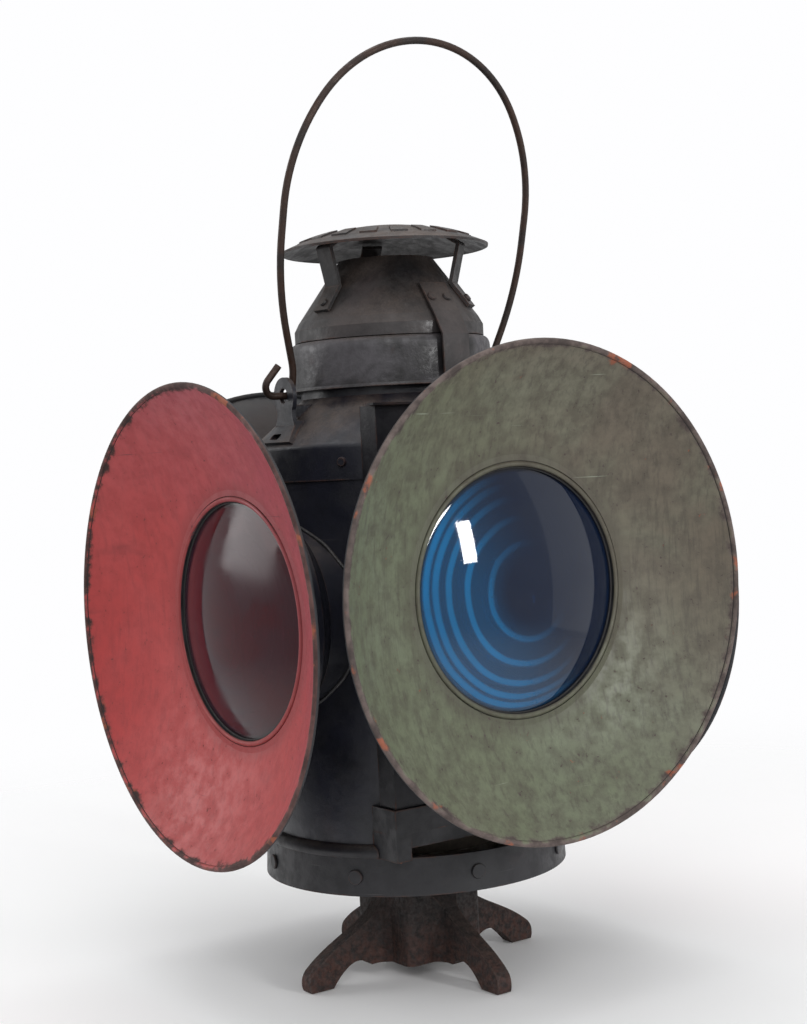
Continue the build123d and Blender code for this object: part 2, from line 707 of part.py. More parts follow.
guide_web = wall_inner - return_depth - slide_gap
guide_flange_y = return_y - door_sheet - slide_gap
guide_top = body_top - dome_lap - seam_gap
guide_root = door_front - 17.0
for side, name in ((-1, "door_guide_left"), (1, "door_guide_right")):
    with BuildPart() as guide:
        with BuildSketch(Plane.XY.offset(guide_bottom)):
            with Locations((side * (guide_web - door_sheet / 2), (guide_flange_y - guide_root) / 2)):
                Rectangle(door_sheet, -guide_flange_y - guide_root)
            with Locations((side * (guide_web + 0.7), guide_flange_y - door_sheet / 2)):
                Rectangle(1.4 + 2 * door_sheet, door_sheet)
        extrude(amount=guide_top - guide_bottom)
        with BuildSketch(Plane.XY.offset(guide_bottom)):
            Circle(body_r)
        extrude(amount=guide_top - guide_bottom, mode=Mode.SUBTRACT)
    finish(guide, name)

band_out = slide_gap + door_sheet
band_root = math.sqrt((body_r - sheet / 2) ** 2 - (door_half + slide_gap) ** 2)
with BuildPart() as door_band:
    with BuildSketch(Plane.XY.offset(band_bottom)):
        with Locations((0, -(band_root + door_front + band_out) / 2)):
            Rectangle(2 * (door_half + band_out), door_front + band_out - band_root)
        with Locations((0, -(door_front + slide_gap) / 2)):
            Rectangle(2 * (door_half + slide_gap), door_front + slide_gap, mode=Mode.SUBTRACT)
    extrude(amount=band_height)
    add(body_shell.part, mode=Mode.SUBTRACT)
finish(door_band, "door_band")

with BuildPart() as sill_blocks:
    with BuildSketch(Plane.XY.offset(skirt_top)):
        for side in (-1, 1):
            middle = (block_inner + door_half + band_out) / 2
            with Locations((side * middle, -(door_front + band_out) / 2)):
                Rectangle(door_half + band_out - block_inner, door_front + band_out)
        Circle(body_r, mode=Mode.SUBTRACT)
    extrude(amount=band_bottom - skirt_top)
finish(sill_blocks, "sill_blocks")

# ---------------------------------------------------------------- door catch
ring_face = guard_r + catch_ring_gap
flank_shift = catch_standoff / math.cos(math.radians(flank_angle))


def over_cone(z):
    """Point on the catch's inner face where it follows the cone's flank."""
    return (-(cone_radius(z) + flank_shift), z)


tooth_y = -(lip_back - seam_gap)
catch_end_y = tooth_y + catch_tooth + catch_thick
with BuildPart() as catch_spring:
    with BuildSketch(Plane.YZ.offset(catch_offset)):
        with BuildLine():
            Polyline(over_cone(catch_top_z), over_cone(cone_corner_z + 0.5),
                     (-ring_face, guard_top - 1.0), (-ring_face, guard_bottom + 4.0),
                     (catch_end_y, catch_end_z + 4.5), (catch_end_y, catch_end_z))
            offset(amount=catch_thick, side=Side.RIGHT)
        make_face()
        with Locations((tooth_y + catch_tooth / 2 + 0.05, catch_end_z + catch_tooth_high / 2)):
            Rectangle(catch_tooth + 0.1, catch_tooth_high)
    extrude(amount=catch_width / 2, both=True)
finish(catch_spring, "catch_spring")

catch_face = catch_foot + flank_out * (catch_standoff + catch_thick)
rivet_set("catch_rivets", [Plane(catch_face + Vector(x, 0, 0), x_dir=(1, 0, 0), z_dir=flank_out)
                           for x in catch_rivet_x], radius=2.6, high=1.3)

# ---------------------------------------------------------------- ears and brace bars
ear_inner = ear_face - ear_thick
ear_bend_z = dome_crease_z + (dome_r - ear_face) * 0.96 + 2.2
for turn, name in ((180, "ear_left"), (0, "ear_right")):
    with BuildPart() as ear:
        with BuildSketch(radial_plane(turn, ear_inner, 0)):
            with Locations((0, (pivot_z + ear_bend_z) / 2 - 4)):
                Rectangle(2 * ear_half, pivot_z - ear_bend_z + 8)
            with Locations((0, pivot_z)):
                Circle(ear_half)
        extrude(amount=ear_thick)
        with BuildSketch(Plane.XZ.rotated((0, 0, turn - 16))):
            with BuildLine():
                Polyline((dome_radius(dome_crease_z + 1.5), dome_crease_z + 1.5),
                         (dome_radius(dome_crease_z + 1.5) + 1.2, dome_crease_z + 3.0),
                         (ear_face, dome_crease_z + 3.0 + (dome_radius(dome_crease_z + 1.5)
                                                           + 1.2 - ear_face) * 0.95),
                         (ear_inner, dome_crease_z + 3.0 + (dome_radius(dome_crease_z + 1.5)
                                                            + 1.2 - ear_inner) * 0.95),
                         (dome_radius(ear_bend_z + 2), ear_bend_z + 2),
                         (dome_radius(dome_crease_z + 1.5), dome_crease_z + 1.5))
            make_face()
        revolve(axis=Axis.Z, revolution_arc=32)
        with BuildSketch(radial_plane(turn, ear_inner - 15, 0)):
            with BuildLine():
                foot_low = dome_crease_z - 1
                neck_at = ear_bend_z + 3
                Line((-ear_foot_half, foot_low), (ear_foot_half, foot_low))
                Bezier((ear_foot_half, foot_low), (ear_stem_half + 3, neck_at - 6),
                       (ear_stem_half, neck_at - 2), (ear_stem_half, neck_at + 5))
                Bezier((ear_stem_half, neck_at + 5), (ear_stem_half, pivot_z - 7),
                       (ear_half, pivot_z - 6), (ear_half, pivot_z))
                RadiusArc((ear_half, pivot_z), (-ear_half, pivot_z), -ear_half)
                Bezier((-ear_half, pivot_z), (-ear_half, pivot_z - 6),
                       (-ear_stem_half, pivot_z - 7), (-ear_stem_half, neck_at + 5))
                Bezier((-ear_stem_half, neck_at + 5), (-ear_stem_half, neck_at - 2),
                       (-ear_stem_half - 3, neck_at - 6), (-ear_foot_half, foot_low))
            make_face()
        extrude(amount=40, mode=Mode.INTERSECT)
        with BuildSketch(radial_plane(turn, 0, 0)):
            with Locations((0, pivot_z)):
                Circle(ear_hole_r)
            with Locations((0, dome_crease_z + 6)):
                SlotOverall(9, 3)
        extrude(amount=100, mode=Mode.SUBTRACT)
        add(dome_fill.part, mode=Mode.SUBTRACT)
    finish(ear, name)

for turn, name in ((180, "brace_left"), (0, "brace_right")):
    with BuildPart() as brace:
        with BuildSketch(radial_plane(turn, neck_r + 0.5, 0)):
            with Locations((0, (brace_low + brace_high) / 2)):
                Rectangle(brace_thick, brace_high - brace_low)
        extrude(amount=ear_inner - neck_r - 0.5)
        add(dome_fill.part, mode=Mode.SUBTRACT)
    finish(brace, name)

# ---------------------------------------------------------------- bail
lean = math.radians(bail_lean)
bail_plane = Plane(origin=(0, 0, pivot_z), x_dir=(1, 0, 0),
                   z_dir=(0, -math.cos(lean), -math.sin(lean)))
arch = bail_high - bail_spring
side_centre = bail_half - bail_side_r
top_r = (side_centre ** 2 + arch ** 2 - bail_side_r ** 2) / (2 * (arch - bail_side_r))
top_centre = bail_high - top_r
reach = math.hypot(side_centre, top_centre - bail_spring)
join = (side_centre - side_centre / reach * bail_side_r,
        bail_spring + (top_centre - bail_spring) / reach * bail_side_r)
turn = math.atan2(join[1] - bail_spring, join[0] - side_centre)
side_mid = (side_centre + bail_side_r * math.cos(turn / 2),
            bail_spring + bail_side_r * math.sin(turn / 2))
top_mid = (top_r * math.cos(turn / 2 + math.pi / 4),
           top_centre + top_r * math.sin(turn / 2 + math.pi / 4))
leg_points = ((bail_half, bail_spring), (bail_half, bail_knee), (hook_in, bail_step),
              (hook_in, 0), (hook_out, 0), hook_tip)
with BuildPart() as bail:
    with BuildLine(bail_plane) as bail_line:
        ThreePointArc((bail_half, bail_spring), side_mid, join)
        ThreePointArc(join, top_mid, (0, bail_high))
        FilletPolyline(*leg_points, radius=(knee_r, step_r, elbow_r, hook_r))
    path = bail_line.wire()
    with BuildSketch(Plane(origin=path @ 0, z_dir=path % 0)):
        Circle(wire_r)
    sweep(path=path)
    mirror(about=Plane.YZ)
finish(bail, "bail")

# ---------------------------------------------------------------- oil fount and burner
with BuildPart() as fount_seat:
    with BuildSketch(Plane.XY.offset(floor_z)):
        Circle(seat_r + sheet)
        Circle(seat_r, mode=Mode.SUBTRACT)
    extrude(amount=seat_high)
finish(fount_seat, "fount_seat")

fount_z = floor_z + bolt_head
fount_top = fount_z + fount_high
fount_wall = 1.2
with BuildPart() as fount:
    with BuildSketch(Plane.XZ):
        with BuildLine():
            Polyline((0, fount_z), (fount_r - 3, fount_z), (fount_r, fount_z + 3),
                     (fount_r, fount_top - 10), (fount_r - 6, fount_top - 4),
                     (collar_r, fount_top), (collar_r - fount_wall, fount_top),
                     (collar_r - fount_wall, fount_top - fount_wall),
                     (fount_r - 7, fount_top - 5.5), (fount_r - fount_wall, fount_top - 10.8),
                     (fount_r - fount_wall, fount_z + 3.4), (fount_r - 3.6, fount_z + fount_wall),
                     (0, fount_z + fount_wall), (0, fount_z))
        make_face()
    revolve(axis=Axis.Z)
    with BuildSketch(Plane.XY.offset(fount_top - 16)):
        with Locations((filler_at, 0)):
            Circle(filler_r - 2.0)
    extrude(amount=16, mode=Mode.ADD)
    with BuildSketch(Plane.XY.offset(fount_top - 20)):
        with Locations((filler_at, 0)):
            Circle(filler_r - 3.2)
    extrude(amount=30, mode=Mode.SUBTRACT)
finish(fount, "fount")

with BuildPart() as filler_cap:
    with BuildSketch(Plane.XY.offset(fount_top + 0.3)):
        with Locations((filler_at, 0)):
            Circle(filler_r)
    extrude(amount=filler_high)
    with BuildSketch(Plane.XY.offset(fount_top + 0.3 + filler_high)):
        with Locations((filler_at, 0)):
            Rectangle(2 * filler_r - 3, 2.0)
    extrude(amount=4)
    with BuildSketch(Plane.XY.offset(fount_top + 0.3 - 4)):
        with Locations((filler_at, 0)):
            Circle(filler_r - 3.2 - running_gap)
    extrude(amount=4.5)
finish(filler_cap, "filler_cap")

with BuildPart() as burner_collar:
    with BuildSketch(Plane.XY.offset(fount_top)):
        Circle(collar_r)
        Circle(burner_r, mode=Mode.SUBTRACT)
    extrude(amount=collar_high)
finish(burner_collar, "burner_collar")

burner_z = fount_top + collar_high
tube_top = burner_z + tube_high
shaft_z = burner_z + 9.0
wheel_y = wick_half_thick + wheel_r
with BuildPart() as burner:
    with BuildSketch(Plane.XY.offset(burner_z)):
        Circle(gallery_r)
    extrude(amount=2.0)
    with BuildSketch(Plane.XY.offset(fount_top + 1)):
        Circle(burner_r - seam_gap)
    extrude(amount=collar_high - 1)
    with BuildSketch(Plane.XY.offset(burner_z)):
        Rectangle(2 * (wick_half_wide + wick_gap + tube_wall),
                  2 * (wick_half_thick + wick_gap + tube_wall))
    extrude(amount=tube_high)
    with BuildSketch(Plane.XY.offset(burner_z)):
        Circle(gallery_r)
        Circle(gallery_r - 1.2, mode=Mode.SUBTRACT)
    extrude(amount=burner_high)
    with BuildSketch(Plane.XY.offset(fount_top)):
        Rectangle(2 * (wick_half_wide + wick_gap), 2 * (wick_half_thick + wick_gap))
    extrude(amount=collar_high + tube_high + 1, mode=Mode.SUBTRACT)
    with BuildSketch(Plane.XY.offset(shaft_z - wheel_r - 0.6)):
        with Locations((0, -wheel_y)):
            Rectangle(2 * (wheel_width / 2 + 0.6), 2 * wheel_r + 1.0)
    extrude(amount=2 * wheel_r + 1.2, mode=Mode.SUBTRACT)
    with BuildSketch(Plane.YZ):
        with Locations((-wheel_y, shaft_z)):
            Circle(shaft_r + running_gap)
    extrude(amount=gallery_r + 2, both=True, mode=Mode.SUBTRACT)
finish(burner, "burner")

with BuildPart() as wick:
    with BuildSketch(Plane.XY.offset(fount_z + 12)):
        Rectangle(2 * wick_half_wide, 2 * wick_half_thick)
    extrude(amount=tube_top + 2.5 - fount_z - 12)
finish(wick, "wick")

with BuildPart() as wick_shaft:
    with BuildSketch(Plane.YZ.offset(-gallery_r - 1)):
        with Locations((-wheel_y, shaft_z)):
            Circle(shaft_r)
    extrude(amount=gallery_r + 1 + knob_out)
    with BuildSketch(Plane.YZ):
        with Locations((-wheel_y, shaft_z)):
            Circle(wheel_r - 0.1)
    extrude(amount=wheel_width / 2, both=True)
    with BuildSketch(Plane.YZ.offset(knob_out)):
        with Locations((-wheel_y, shaft_z)):
            Circle(knob_r)
            with PolarLocations(knob_r, 16):
                Circle(0.7, mode=Mode.SUBTRACT)
    extrude(amount=knob_thick)
finish(wick_shaft, "wick_shaft")

chimney_z = burner_z + burner_high + 0.3
with BuildPart() as chimney:
    with BuildSketch(Plane.XZ):
        with BuildLine():
            Polyline((gallery_r, chimney_z), (gallery_r, chimney_z + 2),
                     (gallery_r - 2, chimney_z + 4))
            Bezier((gallery_r - 2, chimney_z + 4), (gallery_r + 5, chimney_z + 18),
                   (gallery_r + 1, chimney_z + 34), (chimney_r, chimney_z + 48))
            Polyline((chimney_r, chimney_z + 48), (chimney_r - 1, chimney_z + chimney_high),
                     (chimney_r - 1 - chimney_wall, chimney_z + chimney_high),
                     (chimney_r - chimney_wall, chimney_z + 48))
            Bezier((chimney_r - chimney_wall, chimney_z + 48),
                   (gallery_r + 1 - chimney_wall, chimney_z + 34),
                   (gallery_r + 5 - chimney_wall, chimney_z + 18),
                   (gallery_r - 2 - chimney_wall, chimney_z + 4))
            Polyline((gallery_r - 2 - chimney_wall, chimney_z + 4),
                     (gallery_r - 2 - chimney_wall, chimney_z), (gallery_r, chimney_z))
        make_face()
    revolve(axis=Axis.Z)
finish(chimney, "chimney")
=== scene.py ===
# %% [markdown]
# # An old railway switch lamp
# The lamp's metal and glass parts are loaded first. They already have their true shapes and places, so what
# is left is how they look: sooty paint, rust, scuffed enamel, dusty glass, and a few small details that
# time and the tinsmith left behind. Every length is in metres, with +Z up and the sliding door facing -Y.

# %% Load the lamp
import math

import bpy
from mathutils import Matrix, Vector


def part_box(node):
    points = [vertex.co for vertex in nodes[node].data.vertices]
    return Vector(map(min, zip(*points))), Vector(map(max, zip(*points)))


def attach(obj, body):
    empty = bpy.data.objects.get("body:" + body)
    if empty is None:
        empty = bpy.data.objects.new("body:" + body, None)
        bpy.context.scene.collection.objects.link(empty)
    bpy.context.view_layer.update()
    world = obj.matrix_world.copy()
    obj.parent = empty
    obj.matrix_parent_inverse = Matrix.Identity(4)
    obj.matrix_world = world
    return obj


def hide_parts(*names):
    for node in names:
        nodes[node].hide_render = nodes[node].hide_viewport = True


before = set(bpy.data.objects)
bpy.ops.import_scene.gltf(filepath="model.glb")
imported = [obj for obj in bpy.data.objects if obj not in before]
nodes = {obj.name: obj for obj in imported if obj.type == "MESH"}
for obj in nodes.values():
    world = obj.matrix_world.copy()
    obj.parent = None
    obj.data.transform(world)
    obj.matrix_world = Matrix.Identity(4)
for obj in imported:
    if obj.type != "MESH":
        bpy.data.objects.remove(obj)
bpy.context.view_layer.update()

# %% [markdown]
# The main sizes of the lamp are read from the loaded parts where the finishes need them, so that a rust
# ring or a dusty shoulder stays on its part. Each lens station has a name, a turn about the lamp's axis (0
# faces -Y) and a height. The door's station stands higher, because the door is a little raised.

# %% Places that the finishes need
SIDES = {"door": 0, "right": 90, "rear": 180, "left": 270}


def middle_height(name):
    low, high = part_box(name)
    return (low.z + high.z) / 2


lens_height = {side: middle_height(f"{side}_lens") for side in SIDES}
body_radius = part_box("body_shell")[1].x
disc_radius = (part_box("rear_day_disc")[1].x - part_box("rear_day_disc")[0].x) / 2
print("lens heights", {side: round(z, 4) for side, z in lens_height.items()}, "body", round(body_radius, 4))

# %% [markdown]
# The camera stands about a metre away at the height of the vent, a little to the left of the door, and
# leans a few degrees, as a hand-held one does. A matrix built from three directions says all of this at
# once: where right is, where up is, and where it looks.

# %% Camera
VIEW_TURN = math.radians(-34.5)
CAMERA_DISTANCE, CAMERA_HEIGHT = 0.9766, 0.2895
YAW, PITCH, ROLL = (math.radians(angle) for angle in (0.17, -1.92, -2.97))

ahead = Vector((math.sin(YAW) * math.cos(PITCH), math.cos(YAW) * math.cos(PITCH), math.sin(PITCH)))
right = Vector((math.cos(YAW), -math.sin(YAW), 0))
up = right.cross(ahead)
level_right, level_up = right, up
right = math.cos(ROLL) * level_right + math.sin(ROLL) * level_up
up = math.cos(ROLL) * level_up - math.sin(ROLL) * level_right
turn_in = Matrix.Rotation(VIEW_TURN, 4, "Z")
axes = Matrix((right, up, -ahead)).transposed().to_4x4()

bpy.ops.object.camera_add()
camera = bpy.context.object
camera.name = "Camera"
camera.data.lens = 60.96
camera.data.clip_start = 0.05
camera.matrix_world = turn_in @ Matrix.Translation((0, -CAMERA_DISTANCE, CAMERA_HEIGHT)) @ axes
bpy.context.scene.camera = camera
print("camera at", [round(v, 3) for v in camera.matrix_world.translation])

# %% [markdown]
# A light box: a small bright window in front, a wider and weaker one at the right, one behind, a top light
# and a pale world. The white patch in the blue lens is the reflection of the window, so the main light is a
# rectangle, set where the curve of the glass throws it back to the camera. The world is white to the camera
# and dimmer to everything else.

# %% Lights and world
def window_light(name, place, aim, size, watts):
    """A rectangular soft light at a place, facing a point."""
    bpy.ops.object.light_add(type="AREA", location=place)
    lamp = bpy.context.object
    lamp.name = name
    lamp.data.shape = "RECTANGLE"
    lamp.data.size, lamp.data.size_y = size
    lamp.data.energy = watts
    lamp.rotation_euler = (Vector(aim) - Vector(place)).to_track_quat("-Z", "Y").to_euler()
    return lamp


window_light("window", (0.42, -1.81, 0.63), (-0.035, -0.11, 0.244), (0.17, 0.44), 10)
window_light("room_left", (-0.9, -1.5, 1.35), (0, 0, 0.25), (1.1, 1.1), 11)
window_light("fill_right", (1.9, -0.7, 0.5), (0, 0, 0.22), (1.8, 1.8), 3)
window_light("back_left", (-1.3, 1.3, 0.9), (0, 0, 0.25), (1.0, 1.0), 9)
window_light("top", (0.1, 0.1, 1.9), (0, 0, 0), (1.6, 1.6), 13)

scene = bpy.context.scene
scene.view_settings.view_transform = "Standard"
world = bpy.data.worlds.new("pale_room")
scene.world = world
world.use_nodes = True
sky = world.node_tree
sky.nodes.clear()
straight = sky.nodes.new("ShaderNodeLightPath")
brightness = sky.nodes.new("ShaderNodeMapRange")
brightness.inputs["To Min"].default_value = 0.55
brightness.inputs["To Max"].default_value = 1.0
backdrop = sky.nodes.new("ShaderNodeBackground")
backdrop.inputs["Color"].default_value = (0.99, 0.99, 1.0, 1)
sky_out = sky.nodes.new("ShaderNodeOutputWorld")
sky.links.new(straight.outputs["Is Camera Ray"], brightness.inputs["Value"])
sky.links.new(brightness.outputs["Result"], backdrop.inputs["Strength"])
sky.links.new(backdrop.outputs["Background"], sky_out.inputs["Surface"])

# %% [markdown]
# Materials are node trees, and a tree is easier to read when each line adds one node. These few helpers add
# a node and join its inputs, and the rest of the script is written with them. An input is either a plain
# value or the output of another node.

# %% Node helpers
def put(tree, kind, inputs=None, **settings):
    """Add a node, change its settings and fill its inputs."""
    node = tree.nodes.new(kind)
    for name, value in settings.items():
        setattr(node, name, value)
    for socket, value in (inputs or {}).items():
        if isinstance(value, bpy.types.NodeSocket):
            tree.links.new(value, node.inputs[socket])
        else:
            node.inputs[socket].default_value = value
    return node


def calc(tree, operation, *values):
    """One sum with the Math node."""
    return put(tree, "ShaderNodeMath", dict(enumerate(values)), operation=operation).outputs[0]


def spread(tree, value, low, high, out_low=0.0, out_high=1.0):
    """Stretch the part of a value between low and high over a new range, with soft ends."""
    node = put(tree, "ShaderNodeMapRange", {
        "Value": value, "From Min": low, "From Max": high, "To Min": out_low, "To Max": out_high,
    }, interpolation_type="SMOOTHSTEP")
    return node.outputs[0]


def tint(tree, factor, under, over):
    """One colour over another, as far as the factor says."""
    node = put(tree, "ShaderNodeMix", data_type="RGBA")
    for socket, value in ((0, factor), (6, under), (7, over)):
        if isinstance(value, bpy.types.NodeSocket):
            tree.links.new(value, node.inputs[socket])
        else:
            node.inputs[socket].default_value = (*value, 1) if socket else value
    return node.outputs[2]


def noise(tree, place, scale, detail=4.0, roughness=0.55, distortion=0.0):
    return put(tree, "ShaderNodeTexNoise", {
        "Vector": place, "Scale": scale, "Detail": detail, "Roughness": roughness, "Distortion": distortion,
    }).outputs["Fac"]


def object_place(tree):
    return put(tree, "ShaderNodeTexCoord").outputs["Object"]


def new_group(name, inputs, outputs):
    """An empty node group with named number inputs and mask outputs."""
    tree = bpy.data.node_groups.new(name, "ShaderNodeTree")
    for label, start in inputs.items():
        kind = "NodeSocketVector" if start is None else "NodeSocketFloat"
        socket = tree.interface.new_socket(label, in_out="INPUT", socket_type=kind)
        if start is not None:
            socket.default_value = start
    for label in outputs:
        tree.interface.new_socket(label, in_out="OUTPUT", socket_type="NodeSocketFloat")
    given = tree.nodes.new("NodeGroupInput")
    result = tree.nodes.new("NodeGroupOutput")
    return tree, given.outputs, result.inputs


def use_group(tree, group, **inputs):
    """Place a finished group in a material with its own values, and return its outputs."""
    node = put(tree, "ShaderNodeGroup", node_tree=group)
    for label, value in inputs.items():
        socket = node.inputs[label.replace("_", " ").capitalize()]
        if isinstance(value, bpy.types.NodeSocket):
            tree.links.new(value, socket)
        else:
            socket.default_value = value
    return node.outputs


# %% [markdown]
# Four effects turn up on nearly every surface of the lamp, so each is a group: worn edges, dust that
# settled from above, blotchy grime, and scratches. The edge finder compares the true normal with one that a
# Bevel node has rounded: on flat metal they agree, and at an edge they part. It needs no extra mesh, which
# suits parts that are made of few triangles.

# %% Group: worn edges
worn_edges, given, result = new_group(
    "Worn edges", {"Place": None, "Width": 0.0012, "Patchiness": 60.0, "Amount": 1.0}, ["Mask"])
rounded = put(worn_edges, "ShaderNodeBevel", {"Radius": given["Width"]}, samples=6).outputs["Normal"]
flat = put(worn_edges, "ShaderNodeNewGeometry").outputs["Normal"]
agreement = put(worn_edges, "ShaderNodeVectorMath", {0: rounded, 1: flat}, operation="DOT_PRODUCT")
agree = agreement.outputs["Value"]
at_edge = spread(worn_edges, agree, 0.995, 0.90)
patches = noise(worn_edges, given["Place"], given["Patchiness"], detail=6)
patches = spread(worn_edges, patches, 0.42, 0.62)
edge_mask = calc(worn_edges, "MULTIPLY", calc(worn_edges, "MULTIPLY", at_edge, patches), given["Amount"])
worn_edges.links.new(edge_mask, result["Mask"])
print("group:", worn_edges.name)

# %% Group: settled dust
settled_dust, given, result = new_group(
    "Settled dust", {"Place": None, "Amount": 1.0, "Tilt": 0.25, "Clumps": 45.0}, ["Mask"])
facing = put(settled_dust, "ShaderNodeNewGeometry").outputs["Normal"]
rise = put(settled_dust, "ShaderNodeSeparateXYZ", {0: facing}).outputs["Z"]
flatness = spread(settled_dust, rise, given["Tilt"], 0.95)
clumps = spread(settled_dust, noise(settled_dust, given["Place"], given["Clumps"], detail=8), 0.3, 0.7)
fine = spread(settled_dust, noise(settled_dust, given["Place"], 900.0, detail=3), 0.35, 0.65, 0.55, 1.0)
dust_mask = calc(settled_dust, "MULTIPLY", calc(settled_dust, "MULTIPLY", flatness, clumps), fine)
dust_mask = calc(settled_dust, "MULTIPLY", dust_mask, given["Amount"])
settled_dust.links.new(dust_mask, result["Mask"])
print("group:", settled_dust.name)

# %% Group: blotches
blotches, given, result = new_group(
    "Blotches", {"Place": None, "Size": 20.0, "Cover": 0.5}, ["Broad", "Fine", "Specks"])
broad = noise(blotches, given["Place"], given["Size"], detail=5, roughness=0.6, distortion=0.4)
low_end = calc(blotches, "SUBTRACT", 1.0, given["Cover"])
fade_from = calc(blotches, "SUBTRACT", low_end, 0.1)
fade_to = calc(blotches, "ADD", low_end, 0.14)
broad_mask = spread(blotches, broad, fade_from, fade_to)
fine_size = calc(blotches, "MULTIPLY", given["Size"], 7.0)
fine = noise(blotches, given["Place"], fine_size, detail=8, roughness=0.65)
specks = noise(blotches, given["Place"], calc(blotches, "MULTIPLY", given["Size"], 30.0), detail=2)
blotches.links.new(broad_mask, result["Broad"])
blotches.links.new(spread(blotches, fine, 0.3, 0.7), result["Fine"])
blotches.links.new(spread(blotches, specks, 0.62, 0.72), result["Specks"])
print("group:", blotches.name)

# %% Group: scratches
scratches, given, result = new_group(
    "Scratches", {"Place": None, "Length": 9.0, "Amount": 1.0}, ["Mask"])
all_marks = None
for tilt, offset in ((0.35, 0.0), (1.25, 3.1), (2.2, 7.7), (2.85, 12.4)):
    turned = put(scratches, "ShaderNodeMapping", {
        "Vector": given["Place"], "Location": (offset, 0, 0), "Rotation": (0, tilt, 0), "Scale": (1, 1, 42),
    }).outputs[0]
    line = noise(scratches, turned, given["Length"], detail=3, roughness=0.7)
    mark = spread(scratches, line, 0.70, 0.74)
    all_marks = mark if all_marks is None else calc(scratches, "MAXIMUM", all_marks, mark)
break_up = spread(scratches, noise(scratches, given["Place"], 14.0, detail=3), 0.42, 0.6)
scratch_mask = calc(scratches, "MULTIPLY", calc(scratches, "MULTIPLY", all_marks, break_up), given["Amount"])
scratches.links.new(scratch_mask, result["Mask"])
print("group:", scratches.name)

# %% [markdown]
# A metal finish on this lamp is always a stack: base paint, grime over it, rust where the paint is gone,
# dust on top. `finish_shader` joins the top of such a stack to one Principled shader, with a Bump node for
# the surface.

# %% The shader every finish ends in
def new_finish(name):
    material = bpy.data.materials.new(name)
    material.use_nodes = True
    tree = material.node_tree
    tree.nodes.clear()
    return material, tree


def finish_shader(tree, colour, roughness, height=None, bump=0.3, depth=0.0004, **plain):
    """Principled shader with a colour, a roughness, a bump height and plain constants such as metal."""
    shader = put(tree, "ShaderNodeBsdfPrincipled", {"Base Color": colour, "Roughness": roughness})
    for label, value in plain.items():
        socket = shader.inputs[label.replace("_", " ")]
        if isinstance(value, bpy.types.NodeSocket):
            tree.links.new(value, socket)
        else:
            socket.default_value = value
    if height is not None:
        raised = put(tree, "ShaderNodeBump", {"Height": height, "Strength": bump, "Distance": depth})
        tree.links.new(raised.outputs["Normal"], shader.inputs["Normal"])
    out = put(tree, "ShaderNodeOutputMaterial")
    tree.links.new(shader.outputs["BSDF"], out.inputs["Surface"])
    return shader


# %% [markdown]
# The body, the door and the hoods were painted black over sheet steel. After a century outdoors the black
# has gone blue-grey and patchy, rust creeps in from the edges, and brown dust lies on everything that faces
# up. One recipe with a few different numbers covers the body, the vent and the door.

# %% Painted sheet metal
RUST_DARK, RUST_WARM = (0.030, 0.014, 0.010), (0.095, 0.036, 0.020)
DUST = (0.125, 0.092, 0.074)


def painted_sheet(name, paint, worn_paint, blotch_size, dust, rust, gloss, scuffs=0.6):
    material, tree = new_finish(name)
    place = object_place(tree)
    grime = use_group(tree, blotches, place=place, size=blotch_size, cover=0.5)
    colour = tint(tree, grime["Broad"], paint, worn_paint)
    mottle = calc(tree, "MULTIPLY", grime["Fine"], 0.35)
    colour = tint(tree, mottle, colour, tuple(0.45 * v for v in paint))
    marks = use_group(tree, scratches, place=place, length=10.0, amount=scuffs)["Mask"]
    colour = tint(tree, marks, colour, (0.075, 0.07, 0.07))
    rust_blotch = use_group(tree, blotches, place=place, size=blotch_size * 2.3, cover=0.34)
    edges = use_group(tree, worn_edges, place=place, width=0.0016, patchiness=70.0, amount=1.0)["Mask"]
    rust_spots = calc(tree, "MULTIPLY", rust_blotch["Broad"], rust)
    rusty = calc(tree, "MAXIMUM", rust_spots, calc(tree, "MULTIPLY", edges, 0.75))
    rust_colour = tint(tree, rust_blotch["Fine"], RUST_DARK, RUST_WARM)
    colour = tint(tree, rusty, colour, rust_colour)
    dusty = use_group(tree, settled_dust, place=place, amount=dust, tilt=0.2, clumps=38.0)["Mask"]
    colour = tint(tree, dusty, colour, DUST)
    rough = spread(tree, grime["Fine"], 0.0, 1.0, gloss, gloss + 0.2)
    rough = calc(tree, "ADD", rough, calc(tree, "MULTIPLY", calc(tree, "MAXIMUM", rusty, dusty), 0.35))
    height = calc(tree, "ADD", calc(tree, "MULTIPLY", grime["Fine"], 0.4), calc(tree, "MULTIPLY", rusty, 0.7))
    finish_shader(tree, colour, rough, height, bump=0.45, depth=0.0005, Specular_IOR_Level=0.5)
    return material


body_paint = painted_sheet("sooty_blue_black_paint", (0.006, 0.0065, 0.011), (0.018, 0.019, 0.030),
                           13.0, dust=0.95, rust=0.14, gloss=0.30, scuffs=0.3)
door_paint = painted_sheet("worn_door_paint", (0.006, 0.006, 0.009), (0.019, 0.018, 0.023),
                           17.0, dust=0.7, rust=0.2, gloss=0.34, scuffs=0.55)
skirt_paint = painted_sheet("skirt_paint", (0.007, 0.007, 0.010), (0.018, 0.017, 0.021),
                            16.0, dust=0.6, rust=0.25, gloss=0.36, scuffs=0.5)
vent_paint = painted_sheet("heat_browned_paint", (0.013, 0.0115, 0.012), (0.050, 0.042, 0.042),
                           22.0, dust=0.7, rust=0.15, gloss=0.33, scuffs=0.35)
guard_paint = painted_sheet("mottled_ring_paint", (0.013, 0.012, 0.013), (0.075, 0.070, 0.078),
                            34.0, dust=0.4, rust=0.2, gloss=0.32, scuffs=0.35)
print("painted sheet finishes ready")

